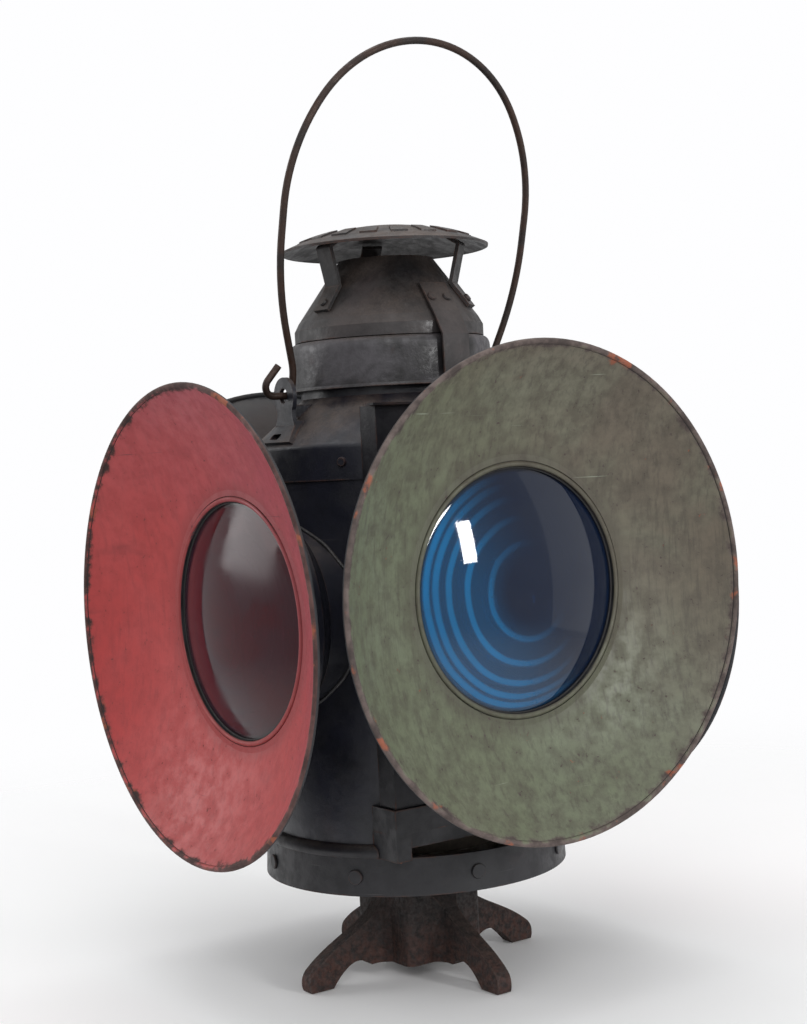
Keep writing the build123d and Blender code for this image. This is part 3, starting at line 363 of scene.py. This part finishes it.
# %% [markdown]
# The base is cast iron from a sand mould, so its skin is rough all over. It stood on wet ground: the feet
# have gone rust red while the hub keeps its black. The height above the soles drives that change.

# %% Cast iron and bolts
def cast_iron(name):
    material, tree = new_finish(name)
    place = object_place(tree)
    height_up = put(tree, "ShaderNodeSeparateXYZ", {0: place}).outputs["Z"]
    patches = use_group(tree, blotches, place=place, size=34.0, cover=0.5)
    low_down = spread(tree, height_up, 0.045, 0.004)
    rust = calc(tree, "MULTIPLY", low_down, spread(tree, patches["Fine"], 0.0, 0.7, 0.35, 1.0))
    rust = calc(tree, "MAXIMUM", rust, calc(tree, "MULTIPLY", patches["Broad"], 0.3))
    edges = use_group(tree, worn_edges, place=place, width=0.002, patchiness=90.0, amount=0.8)["Mask"]
    colour = tint(tree, patches["Fine"], (0.008, 0.0065, 0.0065), (0.024, 0.019, 0.018))
    rust_colour = tint(tree, patches["Fine"], (0.022, 0.012, 0.010), (0.062, 0.026, 0.019))
    colour = tint(tree, rust, colour, rust_colour)
    colour = tint(tree, edges, colour, (0.055, 0.036, 0.030))
    dusty = use_group(tree, settled_dust, place=place, amount=0.6, tilt=0.3, clumps=60.0)["Mask"]
    colour = tint(tree, dusty, colour, (0.060, 0.044, 0.036))
    sand = noise(tree, place, 520.0, detail=5, roughness=0.6)
    pits = noise(tree, place, 130.0, detail=4)
    height = calc(tree, "ADD", calc(tree, "MULTIPLY", sand, 0.5), pits)
    rough = spread(tree, sand, 0.3, 0.7, 0.55, 0.9)
    finish_shader(tree, colour, rough, height, bump=0.8, depth=0.0009, Specular_IOR_Level=0.4)
    return material


casting_finish = cast_iron("rusty_casting")
bolt_finish = painted_sheet("oxidised_bolts", (0.03, 0.024, 0.02), (0.09, 0.07, 0.055),
                            60.0, dust=0.5, rust=0.8, gloss=0.45)
print("casting and bolts ready")

# %% [markdown]
# The day discs are vitreous enamel on steel: glass-hard, satin, and coloured only on the front. A Mapping
# node moves and turns the pattern so that the disc's own centre is the origin and its front faces -Y; one
# recipe then serves all four. The distance from the centre places the worn rim, and the direction of the
# surface tells front from back.

# %% Enamelled day discs
RING_EDGE = 0.0695    # outer radius of the ring round a lens


def enamel(name, side, base, shifted, deep, pale, scuff, chips, bare, streaky):
    material, tree = new_finish(name)
    turn = math.radians(-SIDES[side])
    place = put(tree, "ShaderNodeMapping", {
        "Vector": object_place(tree), "Rotation": (0, 0, turn), "Location": (0, 0, -lens_height[side]),
    }).outputs[0]
    parts = put(tree, "ShaderNodeSeparateXYZ", {0: place}).outputs
    across = calc(tree, "POWER", parts["X"], 2.0)
    upright = calc(tree, "POWER", parts["Z"], 2.0)
    from_centre = calc(tree, "SQRT", calc(tree, "ADD", across, upright))
    normal = put(tree, "ShaderNodeNewGeometry").outputs["True Normal"]
    facing = put(tree, "ShaderNodeVectorRotate", {"Vector": normal, "Angle": turn}, rotation_type="Z_AXIS")
    front_way = put(tree, "ShaderNodeSeparateXYZ", {0: facing.outputs[0]}).outputs["Y"]
    front = spread(tree, front_way, -0.15, -0.35)
    wear = use_group(tree, blotches, place=place, size=15.0, cover=0.47)
    drift = calc(tree, "ADD", parts["X"], calc(tree, "MULTIPLY", parts["Z"], 0.7))
    drift = calc(tree, "ADD", drift, calc(tree, "MULTIPLY", noise(tree, place, 13.0, detail=5), 0.16))
    colour = tint(tree, spread(tree, drift, 0.03, 0.20), base, shifted)
    colour = tint(tree, calc(tree, "MULTIPLY", wear["Broad"], 0.35), colour, pale)
    colour = tint(tree, calc(tree, "MULTIPLY", wear["Fine"], streaky), colour, deep)
    downward = put(tree, "ShaderNodeMapping", {"Vector": place, "Scale": (1, 1, 0.07)}).outputs[0]
    streaks = noise(tree, downward, 330.0, detail=5, roughness=0.7)
    colour = tint(tree, spread(tree, streaks, 0.46, 0.70, 0.0, streaky), colour, deep)
    marks = use_group(tree, scratches, place=place, length=8.0, amount=0.8)["Mask"]
    colour = tint(tree, marks, colour, scuff)
    smears = noise(tree, put(tree, "ShaderNodeMapping", {
        "Vector": place, "Rotation": (0, 0.5, 0), "Scale": (1, 1, 4)}).outputs[0], 11.0, detail=7)
    colour = tint(tree, spread(tree, smears, 0.60, 0.74, 0.0, 0.6), colour, deep)
    rim_edge = calc(tree, "ADD", from_centre, calc(tree, "MULTIPLY", wear["Fine"], 0.0038))
    rim = spread(tree, rim_edge, disc_radius - 0.0030, disc_radius - 0.0004)
    # The enamel is darkened, by up to half, in a band 9.5 mm wide beside the lens ring.
    darker_near_ring = spread(tree, rim_edge, RING_EDGE + 0.0095, RING_EDGE - 0.0005, 0.0, 0.5)
    colour = tint(tree, darker_near_ring, colour, deep)
    spots = calc(tree, "MULTIPLY", wear["Specks"], spread(tree, wear["Fine"], 0.5, 0.8))
    chipped = calc(tree, "MAXIMUM", rim, calc(tree, "MULTIPLY", spots, chips))
    bare_metal = tint(tree, wear["Fine"], bare, tuple(0.35 * v for v in bare))
    bright_rust = spread(tree, noise(tree, place, 75.0, detail=4), 0.60, 0.68)
    bare_metal = tint(tree, calc(tree, "MULTIPLY", bright_rust, 0.7), bare_metal, (0.33, 0.085, 0.035))
    colour = tint(tree, chipped, colour, bare_metal)
    dusty = use_group(tree, settled_dust, place=place, amount=0.4, tilt=0.3, clumps=30.0)["Mask"]
    colour = tint(tree, dusty, colour, (0.15, 0.12, 0.10))
    back = tint(tree, wear["Fine"], (0.008, 0.009, 0.011), (0.030, 0.032, 0.037))
    back = tint(tree, calc(tree, "MULTIPLY", wear["Broad"], 0.4), back, (0.06, 0.032, 0.022))
    colour = tint(tree, front, back, colour)
    rough = spread(tree, wear["Fine"], 0.0, 1.0, 0.42, 0.60)
    rough = calc(tree, "ADD", rough, calc(tree, "MULTIPLY", calc(tree, "MAXIMUM", chipped, marks), 0.25))
    height = calc(tree, "SUBTRACT", calc(tree, "MULTIPLY", wear["Fine"], 0.3), chipped)
    finish_shader(tree, colour, rough, height, bump=0.35, depth=0.0004, Specular_IOR_Level=0.55)
    return material


RED = dict(base=(0.41, 0.038, 0.036), shifted=(0.33, 0.042, 0.062), deep=(0.17, 0.018, 0.020),
           pale=(0.46, 0.070, 0.070), scuff=(0.085, 0.03, 0.035), bare=(0.10, 0.042, 0.036),
           chips=0.55, streaky=0.30)
GREEN = dict(base=(0.118, 0.138, 0.080), shifted=(0.118, 0.096, 0.068), deep=(0.050, 0.042, 0.029),
             pale=(0.165, 0.195, 0.130), scuff=(0.30, 0.335, 0.26), bare=(0.13, 0.095, 0.085),
             chips=1.0, streaky=0.62)
disc_finish = {
    "door": enamel("faded_green_enamel_door", "door", **GREEN),
    "rear": enamel("faded_green_enamel_rear", "rear", **GREEN),
    "left": enamel("scuffed_red_enamel_left", "left", **RED),
    "right": enamel("scuffed_red_enamel_right", "right", **RED),
}
print("enamel on", len(disc_finish), "discs")

# %% [markdown]
# Signal glass is coloured right through. A Principled shader with transmission does this; a share of plain
# colour is left in, because dust inside and out scatters light and keeps a dark lens from looking like an
# empty hole. The steps on the back catch the light as bright arcs, which are drawn here as bands at the
# radius of each step.

# %% Coloured and clear glass
def film_on_glass(tree, place, dust):
    """How dirty the glass is: a patchy film, specks in it, and dust on what faces up."""
    film = use_group(tree, blotches, place=place, size=24.0, cover=0.5)
    specks = calc(tree, "MULTIPLY", film["Specks"], 0.7)
    patchy = calc(tree, "MAXIMUM", calc(tree, "MULTIPLY", film["Broad"], 0.5), specks)
    film_mask = calc(tree, "MULTIPLY", patchy, dust)
    settled = use_group(tree, settled_dust, place=place, amount=dust, tilt=0.1, clumps=25.0)["Mask"]
    return calc(tree, "MAXIMUM", film_mask, settled)


LENS_R = 0.0682                                   # radius of a lens, with its rim
STEPS_AT = (0.36, 0.55, 0.70, 0.80, 0.87, 0.93)   # the steps on its back, as shares of that radius


def signal_glass(name, side, colour, lit, dusty_colour, transmission, dust, rough, spill, shine):
    """Coloured lens glass, darker in the middle and lit along the steps, most on the viewer's left."""
    material, tree = new_finish(name)
    turned = put(tree, "ShaderNodeMapping", {
        "Vector": object_place(tree), "Rotation": (0, 0, math.radians(-SIDES[side])),
        "Location": (0, 0, -lens_height[side]),
    }).outputs[0]
    parts = put(tree, "ShaderNodeSeparateXYZ", {0: turned}).outputs
    flat_place = put(tree, "ShaderNodeCombineXYZ", {"X": parts["X"], "Z": parts["Z"]}).outputs[0]
    from_centre = put(tree, "ShaderNodeVectorMath", {0: flat_place}, operation="LENGTH").outputs["Value"]
    wobble = calc(tree, "MULTIPLY", noise(tree, turned, 22.0, detail=2), 0.003)
    ripple = calc(tree, "ADD", from_centre, wobble)
    bands = None
    for share in STEPS_AT:
        gap = calc(tree, "ABSOLUTE", calc(tree, "SUBTRACT", ripple, LENS_R * share + 0.0015))
        band = spread(tree, gap, 0.0030, 0.0006)
        bands = band if bands is None else calc(tree, "MAXIMUM", bands, band)
    # glow is painted light: bright bands at the steps and a spill over the glass, strongest towards -X and
    # fading towards the middle.
    leftward = calc(tree, "ADD", parts["X"], calc(tree, "MULTIPLY", parts["Z"], 0.45))
    leftward = spread(tree, leftward, 0.020, -0.045)
    glow = calc(tree, "MULTIPLY", calc(tree, "MAXIMUM", bands, spill), leftward)
    glow = calc(tree, "MULTIPLY", glow, spread(tree, from_centre, 0.012, 0.030))
    shade = tint(tree, glow, colour, lit)
    dirty = film_on_glass(tree, turned, dust)
    shade = tint(tree, dirty, shade, dusty_colour)
    shade = tint(tree, spread(tree, from_centre, 0.0600, 0.0630), shade, (0.004, 0.004, 0.006))
    roughness = calc(tree, "ADD", rough, calc(tree, "MULTIPLY", dirty, 0.3))
    finish_shader(tree, shade, roughness, Transmission_Weight=transmission, IOR=1.5, Specular_IOR_Level=shine)
    return material


BLUE = dict(colour=(0.004, 0.016, 0.055), lit=(0.010, 0.26, 0.62), dusty_colour=(0.045, 0.060, 0.090),
            transmission=0.55, dust=0.30, rough=0.02, spill=0.30, shine=0.42)
PLUM = dict(colour=(0.075, 0.003, 0.009), lit=(0.050, 0.018, 0.034), dusty_colour=(0.036, 0.016, 0.028),
            transmission=0.45, dust=0.95, rough=0.06, spill=0.6, shine=0.2)
lens_finish = {}
for side in ("door", "rear"):
    lens_finish[side] = signal_glass(f"blue_signal_glass_{side}", side, **BLUE)
for side in ("left", "right"):
    lens_finish[side] = signal_glass(f"red_signal_glass_{side}", side, **PLUM)


def chimney_glass(name):
    """Clear thin glass with a little soot on it."""
    material, tree = new_finish(name)
    dirty = film_on_glass(tree, object_place(tree), 0.3)
    shade = tint(tree, dirty, (0.92, 0.94, 0.92), (0.35, 0.33, 0.3))
    roughness = calc(tree, "ADD", 0.02, calc(tree, "MULTIPLY", dirty, 0.3))
    finish_shader(tree, shade, roughness, Transmission_Weight=0.95, IOR=1.5)
    return material


clear_glass = chimney_glass("lamp_chimney_glass")
print("three glasses ready")

# %% [markdown]
# The wire bail has lost all its paint and is brown with rust, brightest where it rubs in the ears. The
# burner and the filler cap are brass under soot, the fount is tinned sheet, and the wick is woven cotton,
# charred at the top.

# %% Bail wire, brass, tin and cotton
def bare_metal(name, metal, tarnish, size, metallic, rough, grain=0.0):
    material, tree = new_finish(name)
    place = object_place(tree)
    patches = use_group(tree, blotches, place=place, size=size, cover=0.55)
    colour = tint(tree, patches["Broad"], metal, tarnish)
    colour = tint(tree, calc(tree, "MULTIPLY", patches["Fine"], 0.6), colour, tuple(0.4 * v for v in tarnish))
    edges = use_group(tree, worn_edges, place=place, width=0.0008, patchiness=120.0, amount=0.6)["Mask"]
    colour = tint(tree, edges, colour, tuple(min(1, 1.6 * v) for v in metal))
    shine = spread(tree, patches["Fine"], 0.0, 1.0, metallic, metallic * 0.5)
    roughness = spread(tree, patches["Fine"], 0.0, 1.0, rough, rough + 0.25)
    height = calc(tree, "ADD", patches["Fine"], calc(tree, "MULTIPLY", noise(tree, place, 800.0), grain))
    finish_shader(tree, colour, roughness, height, bump=0.3, depth=0.0003, Metallic=shine)
    return material


wire_finish = bare_metal("rusted_wire", (0.018, 0.013, 0.012), (0.045, 0.021, 0.013),
                         40.0, 0.3, 0.42, grain=0.6)
brass_finish = bare_metal("sooty_brass", (0.55, 0.38, 0.14), (0.18, 0.12, 0.06), 50.0, 0.95, 0.28)
tin_finish = bare_metal("dull_tinned_sheet", (0.46, 0.45, 0.42), (0.20, 0.17, 0.14), 26.0, 0.85, 0.35)


def wick_cotton(name):
    material, tree = new_finish(name)
    place = object_place(tree)
    threads = [put(tree, "ShaderNodeTexWave", {"Vector": place, "Scale": 260.0, "Distortion": 0.6},
                   bands_direction=way).outputs["Fac"] for way in ("X", "Z")]
    weave = calc(tree, "MULTIPLY", *threads)
    height_up = put(tree, "ShaderNodeSeparateXYZ", {0: place}).outputs["Z"]
    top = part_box("wick")[1].z
    charred = spread(tree, height_up, top - 0.006, top - 0.001)
    colour = tint(tree, weave, (0.36, 0.31, 0.24), (0.62, 0.56, 0.45))
    colour = tint(tree, charred, colour, (0.012, 0.011, 0.01))
    finish_shader(tree, colour, spread(tree, weave, 0.0, 1.0, 0.95, 0.8), weave, bump=0.8, depth=0.0004,
                  Sheen_Weight=0.3)
    return material


cotton_finish = wick_cotton("woven_wick_cotton")
print("wire, brass, tin and cotton ready")

# %% [markdown]
# Each loaded part now gets its finish. A part's material slot is the place to put it, so the part itself
# isn't touched. Parts that no rule names keep the body's paint.

# %% Put the finishes on the parts
groups_of_parts = [
    (casting_finish, ["base_casting"]),
    (bolt_finish, ["base_bolts", "base_nuts"]),
    (skirt_paint, ["skirt_band", "skirt_rivets", "sill_blocks", "door_band"]),
    (door_paint, ["door_pan"]),
    (guard_paint, ["wind_guard"]),
    (vent_paint, ["guard_spacers", "draught_baffle", "vent_cone", "smoke_cap", "leg_rivets", "catch_spring",
                  "catch_rivets"]),
    (wire_finish, ["bail"]),
    (tin_finish, ["fount", "fount_seat"]),
    (brass_finish, ["burner_collar", "burner", "wick_shaft", "filler_cap"]),
    (cotton_finish, ["wick"]),
    (clear_glass, ["chimney"]),
]
finish_of = {name: finish for finish, names in groups_of_parts for name in names}
for letter in "abc":
    finish_of[f"cap_leg_{letter}"] = vent_paint
for side in SIDES:
    finish_of[f"{side}_day_disc"] = disc_finish[side]
    finish_of[f"{side}_lens_ring"] = disc_finish[side]
for name, part in nodes.items():
    part.data.materials.clear()
    part.data.materials.append(finish_of.get(name, body_paint))
print(len(finish_of), "parts with their own finish,", len(nodes) - len(finish_of), "in body paint")

# %% [markdown]
# The lenses deserve better than a coarse mesh, because glass shows every facet. The profile of one lens, a
# smooth crown outside and the bull's-eye and steps inside, is drawn as a chain of points and spun round
# with the Spin tool, just as a lathe would do it. The other three are copies, turned into place.

# %% Draw and spin one lens
def select_all_of(piece):
    """Leave edit mode and make one piece the only selected and active one."""
    if bpy.context.object and bpy.context.object.mode != "OBJECT":
        bpy.ops.object.mode_set(mode="OBJECT")
    bpy.ops.object.select_all(action="DESELECT")
    piece.select_set(True)
    bpy.context.view_layer.objects.active = piece


def chain_object(name, points):
    """A mesh that is one chain of points, ready to be spun."""
    mesh = bpy.data.meshes.new(name)
    mesh.from_pydata(points, [(i, i + 1) for i in range(len(points) - 1)], [])
    piece = bpy.data.objects.new(name, mesh)
    bpy.context.scene.collection.objects.link(piece)
    return piece


def spin_up(piece, centre, steps=128):
    """Spin the whole chain once round an axis through centre along Y, and close it."""
    select_all_of(piece)
    bpy.ops.object.mode_set(mode="EDIT")
    bpy.ops.mesh.select_all(action="SELECT")
    bpy.ops.mesh.spin(steps=steps, angle=2 * math.pi, center=centre, axis=(0, 1, 0))
    bpy.ops.mesh.select_all(action="SELECT")
    bpy.ops.mesh.remove_doubles(threshold=1e-6)
    bpy.ops.mesh.normals_make_consistent(inside=False)
    bpy.ops.object.mode_set(mode="OBJECT")
    bpy.ops.object.shade_smooth_by_angle(angle=math.radians(28))
    return piece


LAND_R, LENS_RISE, LENS_RIM = 0.063, 0.0111, 0.0072
SKIN, STEP, EYE = 0.005, 0.0045, 0.008
lens_ball = (LAND_R ** 2 + LENS_RISE ** 2) / (2 * LENS_RISE)
lens_back = -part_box("door_lens")[1].y
crown_top = -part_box("door_lens")[0].y


def crown(radius):
    """How far out the smooth front of the lens is at a radius."""
    return crown_top - lens_ball + math.sqrt(lens_ball ** 2 - min(radius, LAND_R) ** 2)


def lens_profile(height):
    """Points from the middle of the front, over the rim and the steps, to the middle of the back."""
    front = [(LAND_R * i / 24, crown(LAND_R * i / 24)) for i in range(25)]
    rim_out = crown(LAND_R)
    rim = [(LENS_R - 0.0004, rim_out), (LENS_R, rim_out - 0.0004), (LENS_R, rim_out - LENS_RIM)]
    edges = [LENS_R * share for share in STEPS_AT]
    back = [(edges[-1], rim_out - LENS_RIM), (edges[-1], crown(edges[-1]) - SKIN)]
    for low, high in zip(edges[-2::-1], edges[:0:-1]):
        back += [(low, crown(low) - SKIN - STEP), (low, crown(low) - SKIN)]
    eye_r = edges[0]
    eye_edge = crown(eye_r) - SKIN
    deep = crown_top - SKIN - EYE
    ball = (eye_r ** 2 + (eye_edge - deep) ** 2) / (2 * (eye_edge - deep))
    for i in range(1, 11):
        radius = eye_r * (1 - i / 10)
        back.append((radius, deep + ball - math.sqrt(ball ** 2 - radius ** 2)))
    return [(radius, -out, height) for radius, out in front + rim + back]


lens = {}
lens["door"] = spin_up(chain_object("door_lens_glass", lens_profile(lens_height["door"])),
                       (0, 0, lens_height["door"]))
print("lens with", len(lens["door"].data.polygons), "faces, back at", round(lens_back, 4))

# %% Copy the lens to the other sides
def copy_of(piece, name, matrix):
    """A copy with its own mesh, moved by a matrix that is applied at once."""
    twin = piece.copy()
    twin.data = piece.data.copy()
    twin.name = twin.data.name = name
    bpy.context.scene.collection.objects.link(twin)
    twin.data.transform(matrix)
    return twin


for side in ("right", "rear", "left"):
    move = Matrix.Rotation(math.radians(SIDES[side]), 4, "Z") @ Matrix.Translation(
        (0, 0, lens_height[side] - lens_height["door"]))
    lens[side] = copy_of(lens["door"], f"{side}_lens_glass", move)
for side, piece in lens.items():
    piece.data.materials.clear()
    piece.data.materials.append(lens_finish[side])
    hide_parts(f"{side}_lens")
    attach(piece, "door" if side == "door" else "lamp_body")
print("four lenses")

# %% [markdown]
# Some small things are left over from the tinsmith's bench and from the years since. The hoods were
# soldered to the round body, and each joint shows as an uneven bead: a loop of points that follows both
# tubes is turned into a round cord. A strip covers the body's upright joint. Black putty seals each lens,
# and a few crumbs of rust have lifted.

# %% Solder beads round the hoods
HOOD_R, BEAD_THICK = 0.0515, 0.0012
LOOP = 120


def cord_of(name, points, thickness):
    """A closed loop of points turned into a round cord."""
    mesh = bpy.data.meshes.new(name)
    mesh.from_pydata(points, [(i, (i + 1) % len(points)) for i in range(len(points))], [])
    piece = bpy.data.objects.new(name, mesh)
    scene.collection.objects.link(piece)
    select_all_of(piece)
    bpy.ops.object.convert(target="CURVE")
    cord = bpy.context.object
    cord.data.bevel_depth = thickness
    cord.data.bevel_resolution = 3
    bpy.ops.object.convert(target="MESH")
    cord = bpy.context.object
    cord.name = cord.data.name = name
    bpy.ops.object.shade_smooth()
    return cord


def bead_points(side):
    """Where a hood meets the round body, a little uneven as hand soldering is."""
    turn = Matrix.Rotation(math.radians(SIDES[side]), 4, "Z")
    points = []
    for i in range(LOOP):
        angle = 2 * math.pi * i / LOOP
        uneven = 0.00025 * math.sin(7 * angle + 1.3) + 0.0002 * math.sin(17 * angle)
        reach = HOOD_R + 0.0002 + uneven
        across, rise = reach * math.cos(angle), reach * math.sin(angle)
        out = math.sqrt(body_radius ** 2 - across ** 2) + 0.0002
        points.append(turn @ Vector((across, -out, lens_height[side] + rise)))
    return points


def add_detail(piece, finish, body="lamp_body"):
    """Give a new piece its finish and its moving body."""
    piece.data.materials.clear()
    piece.data.materials.append(finish)
    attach(piece, body)


solder_finish = painted_sheet("sooty_solder", (0.010, 0.010, 0.012), (0.045, 0.043, 0.044),
                              70.0, dust=0.6, rust=0.1, gloss=0.3, scuffs=0.3)
for side in ("right", "rear", "left"):
    bead = cord_of(f"{side}_solder_bead", bead_points(side), BEAD_THICK)
    add_detail(bead, solder_finish)
print("three solder beads")

# %% The strip over the body's joint
STRIP_WIDTH, STRIP_THICK = 0.0075, 0.0013
strip_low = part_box("skirt_band")[1].z
strip_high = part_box("dome_shell")[0].z
bpy.ops.object.select_all(action="DESELECT")
bpy.ops.mesh.primitive_cube_add(size=1)
joint_strip = bpy.context.object
joint_strip.name = joint_strip.data.name = "body_joint_strip"
joint_strip.scale = (STRIP_WIDTH, STRIP_THICK, strip_high - strip_low - 0.0006)
joint_strip.location = (0, body_radius + 0.0001, (strip_low + strip_high) / 2)
bpy.ops.object.transform_apply(location=True, scale=True)
joint_strip.rotation_euler = (0, 0, math.radians(-45))
bpy.ops.object.transform_apply(rotation=True)
rounding = joint_strip.modifiers.new("rounding", "BEVEL")
rounding.width, rounding.segments = 0.0004, 2
select_all_of(joint_strip)
bpy.ops.object.modifier_apply(modifier="rounding")
add_detail(joint_strip, body_paint)
print("joint strip", round(strip_high - strip_low, 3), "m long")

# %% Putty round the lenses
putty_finish, tree = new_finish("black_lens_putty")
place = object_place(tree)
lumps = use_group(tree, blotches, place=place, size=60.0, cover=0.5)
putty_colour = tint(tree, lumps["Fine"], (0.004, 0.004, 0.0045), (0.018, 0.016, 0.016))
putty_rough = spread(tree, lumps["Fine"], 0.0, 1.0, 0.5, 0.8)
finish_shader(tree, putty_colour, putty_rough, lumps["Fine"], bump=0.5, depth=0.0004)
PUTTY_THICK = 0.0007
putty_out = crown(LAND_R)
for side in SIDES:
    bpy.ops.object.select_all(action="DESELECT")
    bpy.ops.mesh.primitive_torus_add(major_segments=96, minor_segments=10, major_radius=LAND_R + 0.0002,
                                     minor_radius=PUTTY_THICK, rotation=(math.radians(90), 0, 0),
                                     location=(0, -putty_out, lens_height[side]))
    putty = bpy.context.object
    putty.name = putty.data.name = f"{side}_lens_putty"
    bpy.ops.object.transform_apply(location=True, rotation=True)
    putty.data.transform(Matrix.Rotation(math.radians(SIDES[side]), 4, "Z"))
    bpy.ops.object.shade_smooth()
    add_detail(putty, putty_finish, "door" if side == "door" else "lamp_body")
print("putty round", len(SIDES), "lenses")

# %% Crumbs of rust
crumb_finish = painted_sheet("lifted_rust", (0.10, 0.030, 0.016), (0.19, 0.065, 0.030),
                             120.0, dust=0.2, rust=0.6, gloss=0.7, scuffs=0.0)
SILL_CRUMBS = [(-0.0585, -0.0712, 0.0010), (-0.0560, -0.0716, 0.0013), (-0.0600, -0.0702, 0.0008),
               (0.0570, -0.0714, 0.0011), (0.0592, -0.0706, 0.0009)]
CRUMB_RISE = 0.0022
sill_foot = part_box("sill_blocks")[0].z + 0.0005
crumbs = []
for index, (x, y, size) in enumerate(SILL_CRUMBS):
    bpy.ops.object.select_all(action="DESELECT")
    crumb_place = (x, y, sill_foot + CRUMB_RISE * index)
    bpy.ops.mesh.primitive_ico_sphere_add(subdivisions=2, radius=size, location=crumb_place)
    crumb = bpy.context.object
    crumb.scale = (1.0, 0.7, 1.4)
    bpy.ops.object.transform_apply(location=True, scale=True)
    crumbs.append(crumb)
bpy.ops.object.select_all(action="DESELECT")
for crumb in crumbs:
    crumb.select_set(True)
bpy.context.view_layer.objects.active = crumbs[0]
bpy.ops.object.join()
crumbs[0].name = crumbs[0].data.name = "sill_rust_crumbs"
add_detail(crumbs[0], crumb_finish)
print("rust crumbs", len(SILL_CRUMBS))

# %% [markdown]
# The floor is one large pale sheet. Its far part fades into the world, so no horizon line shows behind the
# lamp from any side. It belongs to the studio and not to the lamp.

# %% Floor
bpy.ops.object.select_all(action="DESELECT")
bpy.ops.mesh.primitive_circle_add(vertices=96, radius=6.0, fill_type="NGON", location=(0, 0, -0.0005))
floor = bpy.context.object
floor.name = "studio_floor"
floor_finish, tree = new_finish("pale_floor")
place = object_place(tree)
away = put(tree, "ShaderNodeVectorMath", {0: place}, operation="LENGTH").outputs["Value"]
fade = spread(tree, away, 0.22, 0.95)
cloudy = noise(tree, place, 3.0, detail=3)
floor_shader = put(tree, "ShaderNodeBsdfPrincipled", {
    "Base Color": tint(tree, cloudy, (0.92, 0.92, 0.92), (0.96, 0.96, 0.96)),
    "Roughness": 0.7,
})
clear = put(tree, "ShaderNodeBsdfTransparent")
joined = put(tree, "ShaderNodeMixShader", {0: fade, 1: floor_shader.outputs[0], 2: clear.outputs[0]})
out = put(tree, "ShaderNodeOutputMaterial", {"Surface": joined.outputs[0]})
floor.data.materials.append(floor_finish)
print("floor at", floor.location.z)
